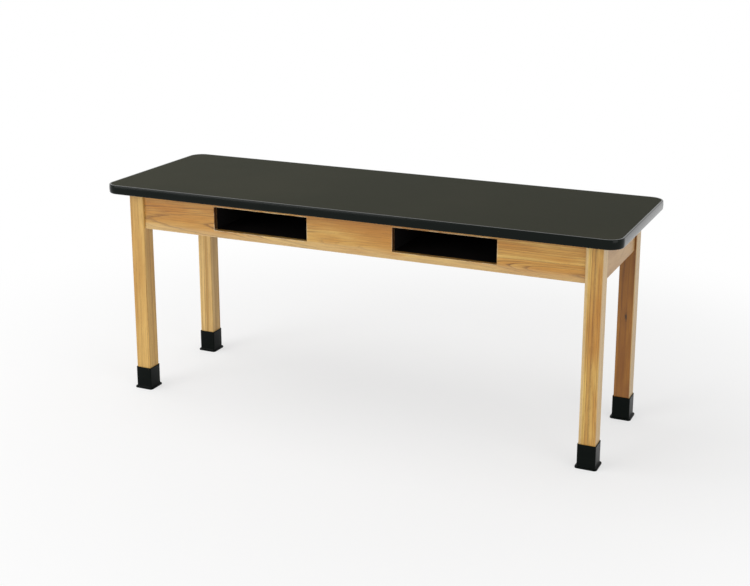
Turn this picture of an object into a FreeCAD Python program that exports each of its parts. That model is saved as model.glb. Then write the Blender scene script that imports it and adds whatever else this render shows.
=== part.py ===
import FreeCAD, Part
import math
import os
import re
import Sketcher

# Science lab table: a laminate-covered top on an oak frame with two open book boxes.
# Millimetres. The origin is on the floor under the table's centre. X runs along the
# length, the front with the book boxes faces -Y, and Z is up.

# Driving sizes, each with what it measures.
SIZES = {
    "table_length": (1829, "overall length of the top"),
    "table_width": (610, "overall width of the top"),
    "table_height": (762, "floor to the work surface"),
    "top_thickness": (31.75, "whole top, laminate to backer"),
    "laminate_sheet": (1.0, "laminate on the work surface"),
    "backer_sheet": (0.8, "balancing sheet under the core"),
    "corner_radius": (50, "corner of the top in plan"),
    "mould_round": (5, "rounding of the moulding's upper and lower edge"),
    "mould_crown": (0.8, "how far the moulding's face swells at mid height"),
    "mould_lip": (1.0, "flat of the moulding beside the laminate"),
    "barb_depth": (9, "tongue of the moulding inside the core"),
    "barb_width": (2.4, "tongue of the moulding, thickness"),
    "slot_clearance": (0.1, "room above and below the tongue"),
    "slot_relief": (1.0, "room behind the tongue"),
    "end_overhang": (65, "top beyond the legs at each end"),
    "side_overhang": (60, "top beyond the legs at front and back"),
    "leg_width": (55, "square leg"),
    "leg_round": (2.5, "eased edges of the leg"),
    "leg_lift": (12, "end of the leg above the floor"),
    "seat_cut": (16, "inner corner of the leg cut back for the bolts"),
    "apron_height": (130, "apron boards"),
    "apron_thickness": (19, "apron boards"),
    "apron_setback": (8, "apron face behind the leg's outer face"),
    "apron_round": (1.5, "eased lower edges of an apron"),
    "opening_width": (356, "book box opening in the front apron"),
    "opening_height": (82, "book box opening in the front apron"),
    "opening_sill": (25, "apron under an opening"),
    "opening_centre": (332.5, "table's centre line to an opening's centre"),
    "opening_round": (2, "corners of an opening"),
    "brace_plate": (2, "sheet steel of the corner brace"),
    "brace_height": (76, "corner brace, top to bottom"),
    "brace_line": (118, "where the brace's diagonal would cut the leg's outer faces"),
    "brace_wing": (36, "wing of the brace along an apron"),
    "brace_hook": (6, "end of the wing bent into the apron"),
    "kerf_clearance": (0.3, "room each side of the hook"),
    "bolt_radius": (3.97, "hanger bolt"),
    "bolt_embed": (30, "hanger bolt inside the leg"),
    "bolt_tail": (4, "hanger bolt beyond the nut"),
    "bolt_row_height": (40, "between the two bolts of a corner"),
    "bolt_hole_clearance": (0.4, "room round a bolt in the brace and washer"),
    "washer_radius": (9, "washer under the nut"),
    "washer_sheet": (1.5, "washer under the nut"),
    "nut_flats": (12.7, "hexagon nut across flats"),
    "nut_height": (6.8, "hexagon nut"),
    "thread_clearance": (0.05, "round a thread in its nut"),
    "screw_radius": (2.1, "wood screw"),
    "screw_length": (16, "wood screw under its head"),
    "screw_tip": (4, "point of a wood screw"),
    "screw_head_radius": (4, "pan head"),
    "screw_head_crown": (2.8, "pan head at its top"),
    "screw_head_height": (2.6, "pan head"),
    "screw_hole_clearance": (0.3, "room round a screw in sheet or flange"),
    "wood_fit": (0.03, "round a screw or bolt in wood"),
    "brace_screw_row_height": (54, "between the two screws of a wing"),
    "bracket_plate": (2, "sheet steel of a top bracket"),
    "bracket_width": (25, "top bracket"),
    "bracket_drop": (30, "top bracket down the apron"),
    "bracket_reach": (24, "top bracket along the top"),
    "bracket_inset": (194.5, "end of a long apron to its outer bracket"),
    "box_wall": (3, "moulded wall of the book box"),
    "box_margin": (3, "book box wider than its opening, each side"),
    "box_step": (2, "book box floor under the opening's sill"),
    "box_back_gap": (56, "behind the book box, to the back apron"),
    "box_round": (5, "outer corners of the book box"),
    "box_flange": (18, "rim that hangs the book box"),
    "box_screw_inset": (40, "front and back of the book box to the nearest rim screws"),
    "boot_wall": (2.6, "rubber boot on the leg"),
    "boot_clearance": (0.15, "between boot and leg"),
    "boot_height": (80, "rubber boot"),
    "boot_round": (4, "outer corners of the boot"),
    "boot_skirt": (6, "foot of the boot beyond its wall"),
    "boot_skirt_height": (4, "foot of the boot"),
    "boot_cove": (5, "hollow curve from skirt to wall"),
    "boot_ledge": (3, "shelf in the boot under the leg"),
    "ledge_hole_radius": (17, "hole in the shelf round the glide"),
    "stud_radius": (4.76, "threaded stud of the glide"),
    "stud_length": (30, "threaded stud above its collar"),
    "stud_chamfer": (0.8, "end of the stud"),
    "collar_flats": (14.3, "hexagon collar of the stud"),
    "collar_gap": (0.3, "between collar and insert when wound in"),
    "spigot_radius": (3.5, "pivot of the stud in the pad"),
    "spigot_length": (4, "pivot of the stud in the pad"),
    "spigot_clearance": (0.05, "running fit round the pivot"),
    "spigot_relief": (0.5, "room under the pivot"),
    "insert_flange_radius": (11, "flange of the threaded insert"),
    "insert_flange_sheet": (1.5, "flange of the threaded insert"),
    "insert_radius": (6.2, "barrel of the threaded insert"),
    "insert_length": (12, "barrel of the threaded insert"),
    "stud_bore_clearance": (0.8, "round the stud above the insert"),
    "stud_bore_relief": (3, "above the stud when wound in"),
    "pad_radius": (15, "foot pad of the glide"),
    "pad_height": (7, "foot pad of the glide"),
    "pad_rim": (3, "upright edge of the foot pad"),
    "pad_round": (1, "lower edge of the foot pad"),
    "pad_neck_radius": (9, "top of the foot pad"),
    "overrun": (2, "how far a cutting shape passes the face it cuts"),
}

# Sizes and places that follow from the driving ones.
PLACES = {
    "half_length": "table_length / 2",
    "half_width": "table_width / 2",
    "underside": "table_height - top_thickness",
    "mould_band": "mould_lip + mould_round + mould_crown",
    "mould_middle": "top_thickness / 2",
    "crown_rise": "top_thickness / 2 - mould_round",
    "crown_radius": "(crown_rise * crown_rise + mould_crown * mould_crown) / (2 * mould_crown)",
    "core_bottom": "underside + backer_sheet",
    "core_thickness": "top_thickness - laminate_sheet - backer_sheet",
    "slot_depth": "barb_depth + slot_relief",
    "slot_width": "barb_width + 2 * slot_clearance",
    "corner_x": "half_length - end_overhang",
    "corner_y": "half_width - side_overhang",
    "leg_centre_x": "corner_x - leg_width / 2",
    "leg_centre_y": "corner_y - leg_width / 2",
    "leg_length": "underside - leg_lift",
    "apron_bottom": "underside - apron_height",
    "apron_inner": "apron_setback + apron_thickness",
    "long_apron": "2 * (corner_x - leg_width)",
    "end_apron": "2 * (corner_y - leg_width)",
    "seat_line": "2 * leg_width - seat_cut",
    "plate_slant": "brace_plate * sqrt(2)",
    "wing_start": "brace_line - apron_inner",
    "wing_back": "brace_line + plate_slant - apron_inner - brace_plate",
    "wing_end": "wing_start + brace_wing",
    "wing_hole": "wing_back + (wing_end - brace_plate - wing_back) / 2",
    "brace_bottom": "apron_bottom + (apron_height - brace_height) / 2",
    "brace_middle": "brace_bottom + brace_height / 2",
    "bolt_low": "brace_middle - bolt_row_height / 2",
    "brace_screw_low": "brace_middle - brace_screw_row_height / 2",
    "bolt_start": "(seat_line - bolt_embed * sqrt(2)) / 2",
    "plate_face": "(brace_line + plate_slant) / 2",
    "bolt_length": "bolt_embed + (plate_face - seat_line / 2) * sqrt(2)"
                   " + washer_sheet + nut_height + bolt_tail",
    "nut_face": "plate_face + washer_sheet / sqrt(2)",
    "nut_radius": "nut_flats / sqrt(3)",
    "pilot_radius": "screw_radius + wood_fit",
    "sheet_hole_radius": "screw_radius + screw_hole_clearance",
    "pilot_depth": "screw_length + overrun - brace_plate",
    "bracket_hole_drop": "bracket_drop - bracket_width / 2",
    "bracket_hole_reach": "bracket_reach - bracket_width / 2",
    "bracket_spacing": "long_apron / 2 - bracket_inset",
    "box_inner": "opening_width + 2 * box_margin",
    "box_outer": "box_inner + 2 * box_wall",
    "box_bottom": "apron_bottom + opening_sill - box_step - box_wall",
    "box_height": "underside - box_bottom",
    "box_front": "corner_y - apron_inner",
    "box_depth": "2 * box_front - box_back_gap",
    "box_screw_offset": "box_outer / 2 + box_flange / 2",
    "box_screw_spacing": "box_depth / 2 - box_screw_inset",
    "boot_offset": "boot_wall + boot_clearance",
    "boot_half": "leg_width / 2 + boot_offset",
    "insert_bottom": "leg_lift - insert_flange_sheet",
    "insert_bore": "stud_radius + thread_clearance",
    "collar_height": "insert_bottom - collar_gap - pad_height",
    "collar_radius": "collar_flats / sqrt(3)",
    "stud_foot": "pad_height + collar_height",
}

# Each corner's side of the table along X and Y, and the turn of the pieces there.
CORNERS = {
    "front_left": ("-", "-", 0),
    "front_right": ("", "-", 90),
    "back_right": ("", "", 180),
    "back_left": ("-", "", 270),
}

# Coordinates closer than this are the same place.
TOUCH = 0.01

UP = FreeCAD.Rotation()
TO_BACK = FreeCAD.Rotation(FreeCAD.Vector(1, 0, 0), -90)
TO_RIGHT = FreeCAD.Rotation(FreeCAD.Vector(0, 1, 0), 90)
# From a leg's outer corner to its inner one, level, in the leg's own axes.
TO_MIDDLE = FreeCAD.Rotation(FreeCAD.Vector(0, 0, 1), FreeCAD.Vector(1, 1, 0))
# The same for the back right leg, in the table's axes.
INWARD = FreeCAD.Rotation(FreeCAD.Vector(0, 0, 1), FreeCAD.Vector(-1, -1, 0))

doc = FreeCAD.newDocument("LabTable")
sheet = doc.addObject("Spreadsheet::Sheet", "Sizes")
for row, (name, (value, note)) in enumerate(SIZES.items(), start=1):
    sheet.set(f"A{row}", name.replace("_", " "))
    sheet.set(f"B{row}", str(value))
    sheet.set(f"C{row}", note)
    sheet.setAlias(f"B{row}", name)
doc.recompute()

nodes = []


def formula(text):
    """Write a sum of named sizes as an expression on the sheet's cells."""
    def cell(match):
        name = match.group()
        if name in PLACES:
            return "(" + formula(PLACES[name]) + ")"
        return "Sizes." + name if name in SIZES else name
    return re.sub(r"[a-z_]+", cell, text)


def measure(text):
    """Work out a sum of named sizes now."""
    result = sheet.evalExpression(formula(text))
    return float(getattr(result, "Value", result))


def bind(thing, **sums):
    """Tie properties of an object to sums of named sizes."""
    for prop, text in sums.items():
        thing.setExpression(prop, formula(text))


def place(thing, at, rotation=UP):
    """Put an object at a named place with a fixed turn."""
    thing.Placement = FreeCAD.Placement(FreeCAD.Vector(), rotation)
    for axis, text in zip("xyz", at):
        thing.setExpression(f".Placement.Base.{axis}", formula(text))


def new_body(label, at=("0", "0", "0"), angle=0):
    """Start a sub-part's body, placed in the table and turned about Z."""
    body = doc.addObject("PartDesign::Body", label)
    body.Label = label
    place(body, at, FreeCAD.Rotation(FreeCAD.Vector(0, 0, 1), angle))
    nodes.append(body)
    return body


def corner_body(name, corner):
    """Start a body whose own origin is the outer corner of a leg, turned to face inwards."""
    side_x, side_y, angle = CORNERS[corner]
    return new_body(f"{name}_{corner}", (f"{side_x}corner_x", f"{side_y}corner_y", "0"), angle)


def datum(body, role):
    """Find one of the body's own planes or axes."""
    return [item for item in body.Origin.OriginFeatures if item.Role == role][0]


def new_sketch(body, name, role="XY_Plane", offset="0"):
    """Lay a sketch on one of the body's planes, raised by a named distance."""
    sketch = body.newObject("Sketcher::SketchObject", name)
    sketch.AttachmentSupport = (datum(body, role), [""])
    sketch.MapMode = "FlatFace"
    sketch.setExpression(".AttachmentOffset.Base.z", formula(offset))
    return sketch


def nearest_end(sketch, edge, point):
    """Tell which end of a sketch edge lies at a point."""
    start = (sketch.getPoint(edge, 1) - point).Length
    end = (sketch.getPoint(edge, 2) - point).Length
    return 1 if start < end else 2


def outline(sketch, vertices, arcs=None):
    """Draw a closed outline whose corners and arc radii are all named.

    Each vertex is a pair of sums. arcs gives the radius of the edge that starts at a
    vertex; it swells outwards on an outline drawn counter-clockwise, and inwards where
    the radius is negative.
    """
    arcs = arcs or {}
    points = [FreeCAD.Vector(measure(x), measure(y), 0) for x, y in vertices]
    edges = []
    for index, start in enumerate(points):
        end = points[(index + 1) % len(points)]
        if index not in arcs:
            edges.append(Part.LineSegment(start, end))
            continue
        radius = measure(arcs[index])
        chord = end - start
        side = FreeCAD.Vector(chord.y, -chord.x, 0).normalize()
        rise = abs(radius) - math.sqrt(max(radius ** 2 - (chord.Length / 2) ** 2, 0))
        middle = (start + end) * 0.5 + side * math.copysign(rise, radius)
        edges.append(Part.Arc(start, middle, end))
    numbers = sketch.addGeometry(edges, False)
    for index in range(len(points)):
        following = (index + 1) % len(points)
        point = points[following]
        end = nearest_end(sketch, numbers[index], point)
        start = nearest_end(sketch, numbers[following], point)
        sketch.addConstraint(Sketcher.Constraint(
            "Coincident", numbers[index], end, numbers[following], start))
        fix(sketch, "DistanceX", (-1, 1, numbers[index], end), point.x, vertices[following][0])
        fix(sketch, "DistanceY", (-1, 1, numbers[index], end), point.y, vertices[following][1])
    for index, radius in arcs.items():
        fix(sketch, "Radius", (numbers[index],), abs(measure(radius)), f"abs({radius})")


def fix(sketch, kind, elements, value, text):
    """Add a constraint to a sketch and tie it to a sum of named sizes."""
    number = sketch.addConstraint(Sketcher.Constraint(kind, *elements, value))
    sketch.setExpression(f"Constraints[{number}]", formula(text))


def rectangle(sketch, low_x, high_x, low_y, high_y):
    """Draw a rectangle between named sides."""
    outline(sketch, [(low_x, low_y), (high_x, low_y), (high_x, high_y), (low_x, high_y)])


def rounded_rectangle(sketch, centre, half_x, half_y, radius):
    """Draw a rectangle with round corners about a named centre."""
    x, y = centre
    left, right = f"{x} - ({half_x})", f"{x} + ({half_x})"
    front, back = f"{y} - ({half_y})", f"{y} + ({half_y})"
    vertices = [
        (f"{left} + ({radius})", front), (f"{right} - ({radius})", front),
        (right, f"{front} + ({radius})"), (right, f"{back} - ({radius})"),
        (f"{right} - ({radius})", back), (f"{left} + ({radius})", back),
        (left, f"{back} - ({radius})"), (left, f"{front} + ({radius})"),
    ]
    outline(sketch, vertices, {corner: radius for corner in (1, 3, 5, 7)})


def circles(sketch, centres, radius):
    """Draw equal circles at named centres."""
    for x, y in centres:
        centre = FreeCAD.Vector(measure(x), measure(y), 0)
        number = sketch.addGeometry(
            Part.Circle(centre, FreeCAD.Vector(0, 0, 1), measure(radius)), False)
        fix(sketch, "DistanceX", (-1, 1, number, 3), centre.x, x)
        fix(sketch, "DistanceY", (-1, 1, number, 3), centre.y, y)
        fix(sketch, "Radius", (number,), measure(radius), radius)


def pad(body, sketch, length, backwards=False):
    """Raise a sketch into a solid."""
    feature = body.newObject("PartDesign::Pad", sketch.Name + "_pad")
    feature.Profile = sketch
    feature.Reversed = backwards
    bind(feature, Length=length)
    return feature


def cut(body, sketch, length, backwards=False, both_ways=False):
    """Sink a sketch into the body, and make sure that it takes material away."""
    doc.recompute()
    before = body.Shape.Volume
    feature = body.newObject("PartDesign::Pocket", sketch.Name + "_cut")
    feature.Profile = sketch
    feature.Reversed = backwards
    if both_ways:
        feature.SideType = "Symmetric"
    bind(feature, Length=length)
    doc.recompute()
    if not body.Shape.Volume < before:
        raise ValueError(f"{feature.Name} cuts nothing")
    return feature


def round_edges(body, name, radius, wanted):
    """Round the edges of the body that the test picks."""
    doc.recompute()
    base = body.Tip
    picked = [f"Edge{number}" for number, edge in enumerate(base.Shape.Edges, start=1)
              if wanted(edge)]
    feature = body.newObject("PartDesign::Fillet", name)
    feature.Base = (base, picked)
    bind(feature, Radius=radius)
    doc.recompute()
    return feature


def near(value, text):
    """Tell whether a coordinate lies at a named place."""
    return abs(value - measure(text)) < TOUCH


def upright(edge):
    """Tell whether an edge is straight and vertical."""
    box = edge.BoundBox
    return box.XLength + box.YLength < TOUCH < box.ZLength


def cylinder(body, name, at, radius, height, rotation=UP, kind="Additive"):
    """Add or cut a round bar that starts at a place and runs along the turned Z."""
    feature = body.newObject(f"PartDesign::{kind}Cylinder", name)
    bind(feature, Radius=radius, Height=height)
    place(feature, at, rotation)
    return feature


def block(body, name, at, size, kind="Additive"):
    """Add or cut a box that starts at a place."""
    feature = body.newObject(f"PartDesign::{kind}Box", name)
    bind(feature, Length=size[0], Width=size[1], Height=size[2])
    place(feature, at)
    return feature


def hexagon(body, name, at, radius, height, rotation=UP):
    """Add a six-sided bar that starts at a place and runs along the turned Z."""
    feature = body.newObject("PartDesign::AdditivePrism", name)
    feature.Polygon = 6
    bind(feature, Circumradius=radius, Height=height)
    place(feature, at, rotation)
    return feature


def step(at, rotation, distance):
    """Move a place along the turned Z by a named distance."""
    along = rotation.multVec(FreeCAD.Vector(0, 0, 1))
    return tuple(f"{text} + ({share:.9f}) * ({distance})" for text, share in zip(at, along))


def screw(body, name, at, rotation):
    """Add a wood screw whose head seats at a place; the turned Z points along its shank."""
    head = body.newObject("PartDesign::AdditiveCone", name + "_head")
    bind(head, Radius1="screw_head_crown", Radius2="screw_head_radius", Height="screw_head_height")
    place(head, step(at, rotation, "-screw_head_height"), rotation)
    shank = cylinder(body, name + "_shank", at, "screw_radius", "screw_length - screw_tip", rotation)
    tip = body.newObject("PartDesign::AdditiveCone", name + "_tip")
    bind(tip, Radius1="screw_radius", Radius2="screw_radius / 8", Height="screw_tip")
    place(tip, step(at, rotation, "screw_length - screw_tip"), rotation)
    return [head, shank, tip]


def new_master(name):
    """Start a body that is repeated inside a group and isn't a node itself."""
    return doc.addObject("PartDesign::Body", name)


def gather(label, families):
    """Make one node of alike pieces, each family mirrored about the table's middle planes.

    A family is a body and the normals of the planes that repeat it.
    """
    members = []
    for body, normals in families:
        copies = [body]
        for axis in normals:
            for source in list(copies):
                mirror = doc.addObject("Part::Mirroring", f"{source.Name}_over_{axis}")
                mirror.Source = source
                mirror.Normal = FreeCAD.Vector(axis == "x", axis == "y", 0)
                copies.append(mirror)
        members += copies
    group = doc.addObject("Part::Compound", label)
    group.Label = label
    group.Links = members
    nodes.append(group)


# Holes in the underside of the top

def mirrored_places(places):
    """Repeat plan positions in all four quarters of the table, each once."""
    found = []
    for x, y in places:
        for sign_x in ("", "-") if x != "0" else ("",):
            for sign_y in ("", "-") if y != "0" else ("",):
                found.append((f"{sign_x}({x})", f"{sign_y}({y})"))
    return found


def top_screw_places():
    """List where screws enter the top: from the brackets and from the book boxes."""
    bracket_y = "corner_y - apron_inner - bracket_hole_reach"
    bracket_x = "corner_x - apron_inner - bracket_hole_reach"
    places = mirrored_places([("0", bracket_y), ("bracket_spacing", bracket_y), (bracket_x, "0")])
    for side in ("opening_centre - box_screw_offset", "opening_centre + box_screw_offset"):
        for row in ("-box_screw_spacing", "0", "box_screw_spacing"):
            for sign in ("", "-"):
                places.append((f"{sign}({side})", f"box_depth / 2 - box_front + {row}"))
    return places


# Top

def make_top():
    """Core, laminate and backer, and the moulding round their edge."""
    centre = ("0", "0")
    half_x, half_y = "half_length - mould_band", "half_width - mould_band"
    radius = "corner_radius - mould_band"
    sheets = {
        "top_backer": ("underside", "backer_sheet"),
        "top_core": ("core_bottom", "core_thickness"),
        "top_laminate": ("table_height - laminate_sheet", "laminate_sheet"),
    }
    bodies = {}
    for label, (bottom, thickness) in sheets.items():
        body = new_body(label)
        plan = new_sketch(body, label + "_plan", offset=bottom)
        rounded_rectangle(plan, centre, half_x, half_y, radius)
        pad(body, plan, thickness)
        bodies[label] = body

    core = bodies["top_core"]
    slot = new_sketch(core, "edge_slot", offset="underside + mould_middle")
    rounded_rectangle(slot, centre, f"{half_x} + overrun", f"{half_y} + overrun",
                      f"{radius} + overrun")
    rounded_rectangle(slot, centre, f"{half_x} - slot_depth", f"{half_y} - slot_depth",
                      f"{radius} - slot_depth")
    cut(core, slot, "slot_width", both_ways=True)
    pilots = new_sketch(core, "core_pilots", offset="core_bottom")
    circles(pilots, top_screw_places(), "pilot_radius")
    cut(core, pilots, "pilot_depth - backer_sheet", backwards=True)
    holes = new_sketch(bodies["top_backer"], "backer_holes", offset="underside")
    circles(holes, top_screw_places(), "sheet_hole_radius")
    cut(bodies["top_backer"], holes, "backer_sheet", backwards=True)

    moulding = new_body("top_edge_moulding")
    path = new_sketch(moulding, "edge_path", offset="underside + mould_middle")
    rounded_rectangle(path, centre, "half_length", "half_width", "corner_radius")
    section = new_sketch(moulding, "edge_section", "YZ_Plane")
    face, inner, barb = "-half_width", "-half_width + mould_band", "barb_depth"
    low, high, middle = "underside", "table_height", "underside + mould_middle"
    vertices = [
        (f"{face} + mould_crown", f"{high} - mould_round"),
        (face, middle),
        (f"{face} + mould_crown", f"{low} + mould_round"),
        (f"{inner} - mould_lip", low),
        (inner, low),
        (inner, f"{middle} - barb_width / 2"),
        (f"{inner} + {barb}", f"{middle} - barb_width / 2"),
        (f"{inner} + {barb}", f"{middle} + barb_width / 2"),
        (inner, f"{middle} + barb_width / 2"),
        (inner, high),
        (f"{inner} - mould_lip", high),
    ]
    arcs = {0: "crown_radius", 1: "crown_radius", 2: "mould_round", 10: "mould_round"}
    outline(section, vertices, arcs)
    band = moulding.newObject("PartDesign::AdditivePipe", "edge_band")
    band.Profile = section
    band.Spine = (path, [])


# Oak frame

def make_leg(corner):
    """Square leg from its boot to the top, cut back at its inner corner for the bolts.

    The body's own origin is the leg's outer corner; the table lies towards +X and +Y.
    """
    body = corner_body("leg", corner)
    section = new_sketch(body, f"leg_section_{corner}", offset="leg_lift")
    half = "leg_width / 2"
    rounded_rectangle(section, (half, half), half, half, "leg_round")
    pad(body, section, "leg_length")
    seat = new_sketch(body, f"leg_seat_{corner}", offset="underside")
    outline(seat, [
        ("leg_width + overrun", "leg_width - seat_cut - overrun"),
        ("leg_width + overrun", "leg_width + overrun"),
        ("leg_width - seat_cut - overrun", "leg_width + overrun"),
    ])
    cut(body, seat, "apron_height")
    for row, height in enumerate(("bolt_low", "bolt_low + bolt_row_height")):
        cylinder(body, f"bolt_bore_{corner}_{row}", ("bolt_start", "bolt_start", height),
                 "bolt_radius + wood_fit", "bolt_embed + overrun", TO_MIDDLE, "Subtractive")
    cylinder(body, f"insert_bore_{corner}", (half, half, "leg_lift - overrun"),
             "insert_radius + wood_fit", "insert_length + overrun", UP, "Subtractive")
    cylinder(body, f"stud_bore_{corner}", (half, half, "leg_lift"),
             "stud_radius + stud_bore_clearance", "stud_foot + stud_length - leg_lift + stud_bore_relief",
             UP, "Subtractive")


def make_apron(label, length, at, angle, bracket_places, openings=()):
    """Apron board between two legs.

    The body's own origin is the middle of the outer face's lower edge, X runs along the
    board and Y through it, towards the table's middle.
    """
    body = new_body(label, at, angle)
    face = new_sketch(body, label + "_face", "XZ_Plane")
    rectangle(face, f"-{length} / 2", f"{length} / 2", "0", "apron_height")
    for number, centre in enumerate(openings):
        rounded_rectangle(face, (centre, "opening_sill + opening_height / 2"),
                          "opening_width / 2", "opening_height / 2", "opening_round")
    pad(body, face, "apron_thickness", backwards=True)
    round_edges(body, label + "_eased", "apron_round",
                lambda edge: near(edge.BoundBox.ZMax, "0"))
    for side, sign in (("left", "-"), ("right", "")):
        middle = f"{sign}({length} / 2 + leg_width - wing_end + brace_plate / 2)"
        width = "brace_plate + 2 * kerf_clearance"
        block(body, f"{label}_kerf_{side}",
              (f"{middle} - ({width}) / 2", "apron_thickness - brace_hook - kerf_clearance", "-overrun"),
              (width, "brace_hook + kerf_clearance + overrun", "apron_height + 2 * overrun"), "Subtractive")
    pilots = [(place_x, "apron_height - bracket_hole_drop") for place_x in bracket_places]
    for sign in ("", "-"):
        for height in ("brace_screw_low", "brace_screw_low + brace_screw_row_height"):
            pilots.append((f"{sign}({length} / 2 + leg_width - wing_hole)", f"{height} - apron_bottom"))
    holes = new_sketch(body, label + "_pilots", "XZ_Plane", "-apron_thickness")
    circles(holes, pilots, "pilot_radius")
    cut(body, holes, "pilot_depth", backwards=True)


def make_aprons():
    """Front apron with its two openings, back apron and the two ends."""
    long_brackets = ("-bracket_spacing", "0", "bracket_spacing")
    make_apron("front_apron", "long_apron", ("0", "-corner_y + apron_setback", "apron_bottom"), 0,
               long_brackets, ("-opening_centre", "opening_centre"))
    make_apron("back_apron", "long_apron", ("0", "corner_y - apron_setback", "apron_bottom"), 180,
               long_brackets)
    make_apron("left_apron", "end_apron", ("-corner_x + apron_setback", "0", "apron_bottom"), -90, ("0",))
    make_apron("right_apron", "end_apron", ("corner_x - apron_setback", "0", "apron_bottom"), 90, ("0",))


# Corner braces and their fasteners

def make_brace(corner):
    """Bent steel brace behind a leg: a diagonal, two wings and two hooks in the aprons."""
    body = corner_body("corner_brace", corner)
    plan = new_sketch(body, f"brace_plan_{corner}", offset="brace_bottom")
    tip, inner, back = "apron_inner - brace_hook", "apron_inner", "apron_inner + brace_plate"
    hook = "wing_end - brace_plate"
    half = [(hook, tip), ("wing_end", tip), ("wing_end", back), ("wing_back", back)]
    near_side = [("wing_start", inner), (hook, inner)]
    swap = [(b, a) for a, b in half[::-1]]
    outline(plan, half + swap + [(b, a) for a, b in near_side[::-1]] + near_side)
    pad(body, plan, "brace_height")
    for row, height in enumerate(("bolt_low", "bolt_low + bolt_row_height")):
        start = "plate_face - plate_slant"
        cylinder(body, f"brace_bolt_hole_{corner}_{row}", (start, start, height),
                 "bolt_radius + bolt_hole_clearance", "3 * brace_plate", TO_MIDDLE, "Subtractive")
    for row, height in enumerate(("brace_screw_low", "brace_screw_low + brace_screw_row_height")):
        cylinder(body, f"wing_hole_x_{corner}_{row}", ("wing_hole", "apron_inner - overrun", height),
                 "sheet_hole_radius", "brace_plate + 2 * overrun", TO_BACK, "Subtractive")
        cylinder(body, f"wing_hole_y_{corner}_{row}", ("apron_inner - overrun", "wing_hole", height),
                 "sheet_hole_radius", "brace_plate + 2 * overrun", TO_RIGHT, "Subtractive")


def make_hanger_bolts():
    """Bolts through the braces into the legs, with their washers and nuts."""
    bolts, washers, nuts = (new_master(f"corner_{name}") for name in ("bolts", "washers", "nuts"))
    for row, height in enumerate(("bolt_low", "bolt_low + bolt_row_height")):
        def inward(distance):
            return (f"corner_x - ({distance})", f"corner_y - ({distance})", height)
        cylinder(bolts, f"bolt_{row}", inward("bolt_start"), "bolt_radius", "bolt_length", INWARD)
        cylinder(washers, f"washer_{row}", inward("plate_face"), "washer_radius", "washer_sheet", INWARD)
        cylinder(washers, f"washer_bore_{row}", inward("plate_face - washer_sheet"),
                 "bolt_radius + bolt_hole_clearance", "4 * washer_sheet", INWARD, "Subtractive")
        hexagon(nuts, f"nut_{row}", inward("nut_face"), "nut_radius", "nut_height", INWARD)
        cylinder(nuts, f"nut_bore_{row}", inward("nut_face - nut_height / 4"),
                 "bolt_radius + thread_clearance", "2 * nut_height", INWARD, "Subtractive")
    gather("hanger_bolts", [(bolts, "xy")])
    gather("hanger_bolt_washers", [(washers, "xy")])
    gather("hanger_bolt_nuts", [(nuts, "xy")])


def make_brace_screws():
    """Screws through the wings of the braces into the aprons."""
    into_back, into_end = new_master("back_apron_screws"), new_master("end_apron_screws")
    seat = "apron_inner + brace_plate"
    for row, height in enumerate(("brace_screw_low", "brace_screw_low + brace_screw_row_height")):
        screw(into_back, f"back_screw_{row}",
              ("corner_x - wing_hole", f"corner_y - ({seat})", height), TO_BACK)
        screw(into_end, f"end_screw_{row}",
              (f"corner_x - ({seat})", "corner_y - wing_hole", height), TO_RIGHT)
    gather("brace_screws", [(into_back, "xy"), (into_end, "xy")])


# Brackets that hold the top

def make_bracket(body, screws, name, x, y, rotation):
    """Add one angle bracket and its two screws at the foot of an apron's inner face.

    x and y give the middle of the apron's inner face there; the rotation turns Z towards
    the apron.
    """
    half = "bracket_width / 2"
    if rotation is TO_BACK:
        corners = {"drop": (f"{x} - {half}", f"{y} - bracket_plate"),
                   "reach": (f"{x} - {half}", f"{y} - bracket_reach")}
        sizes = {"drop": ("bracket_width", "bracket_plate"), "reach": ("bracket_width", "bracket_reach")}
        top_hole, seat = (x, f"{y} - bracket_hole_reach"), (x, f"{y} - bracket_plate")
    else:
        corners = {"drop": (f"{x} - bracket_plate", f"{y} - {half}"),
                   "reach": (f"{x} - bracket_reach", f"{y} - {half}")}
        sizes = {"drop": ("bracket_plate", "bracket_width"), "reach": ("bracket_reach", "bracket_width")}
        top_hole, seat = (f"{x} - bracket_hole_reach", y), (f"{x} - bracket_plate", y)
    heights = {"drop": ("underside - bracket_drop", "bracket_drop"),
               "reach": ("underside - bracket_plate", "bracket_plate")}
    for limb in ("drop", "reach"):
        bottom, height = heights[limb]
        block(body, f"{name}_{limb}", corners[limb] + (bottom,), sizes[limb] + (height,))
    side = seat + ("underside - bracket_hole_drop",)
    cylinder(body, f"{name}_side_hole", step(side, rotation, "-bracket_plate"), "sheet_hole_radius",
             "2 * bracket_plate", rotation, "Subtractive")
    cylinder(body, f"{name}_top_hole", top_hole + ("underside - 2 * bracket_plate",),
             "sheet_hole_radius", "3 * bracket_plate", UP, "Subtractive")
    screw(screws, f"{name}_side", side, rotation)
    screw(screws, f"{name}_top", top_hole + ("underside - bracket_plate",), UP)


def make_brackets():
    """Angle brackets between aprons and top, with one screw into each."""
    back, end = new_master("back_brackets"), new_master("end_bracket")
    back_screws, end_screws = new_master("back_bracket_screws"), new_master("end_bracket_screws")
    for number, x in enumerate(("-bracket_spacing", "0", "bracket_spacing")):
        make_bracket(back, back_screws, f"back_{number}", x, "corner_y - apron_inner", TO_BACK)
    make_bracket(end, end_screws, "end", "corner_x - apron_inner", "0", TO_RIGHT)
    gather("top_brackets", [(back, "y"), (end, "x")])
    gather("bracket_screws", [(back_screws, "y"), (end_screws, "x")])


# Book boxes

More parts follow.
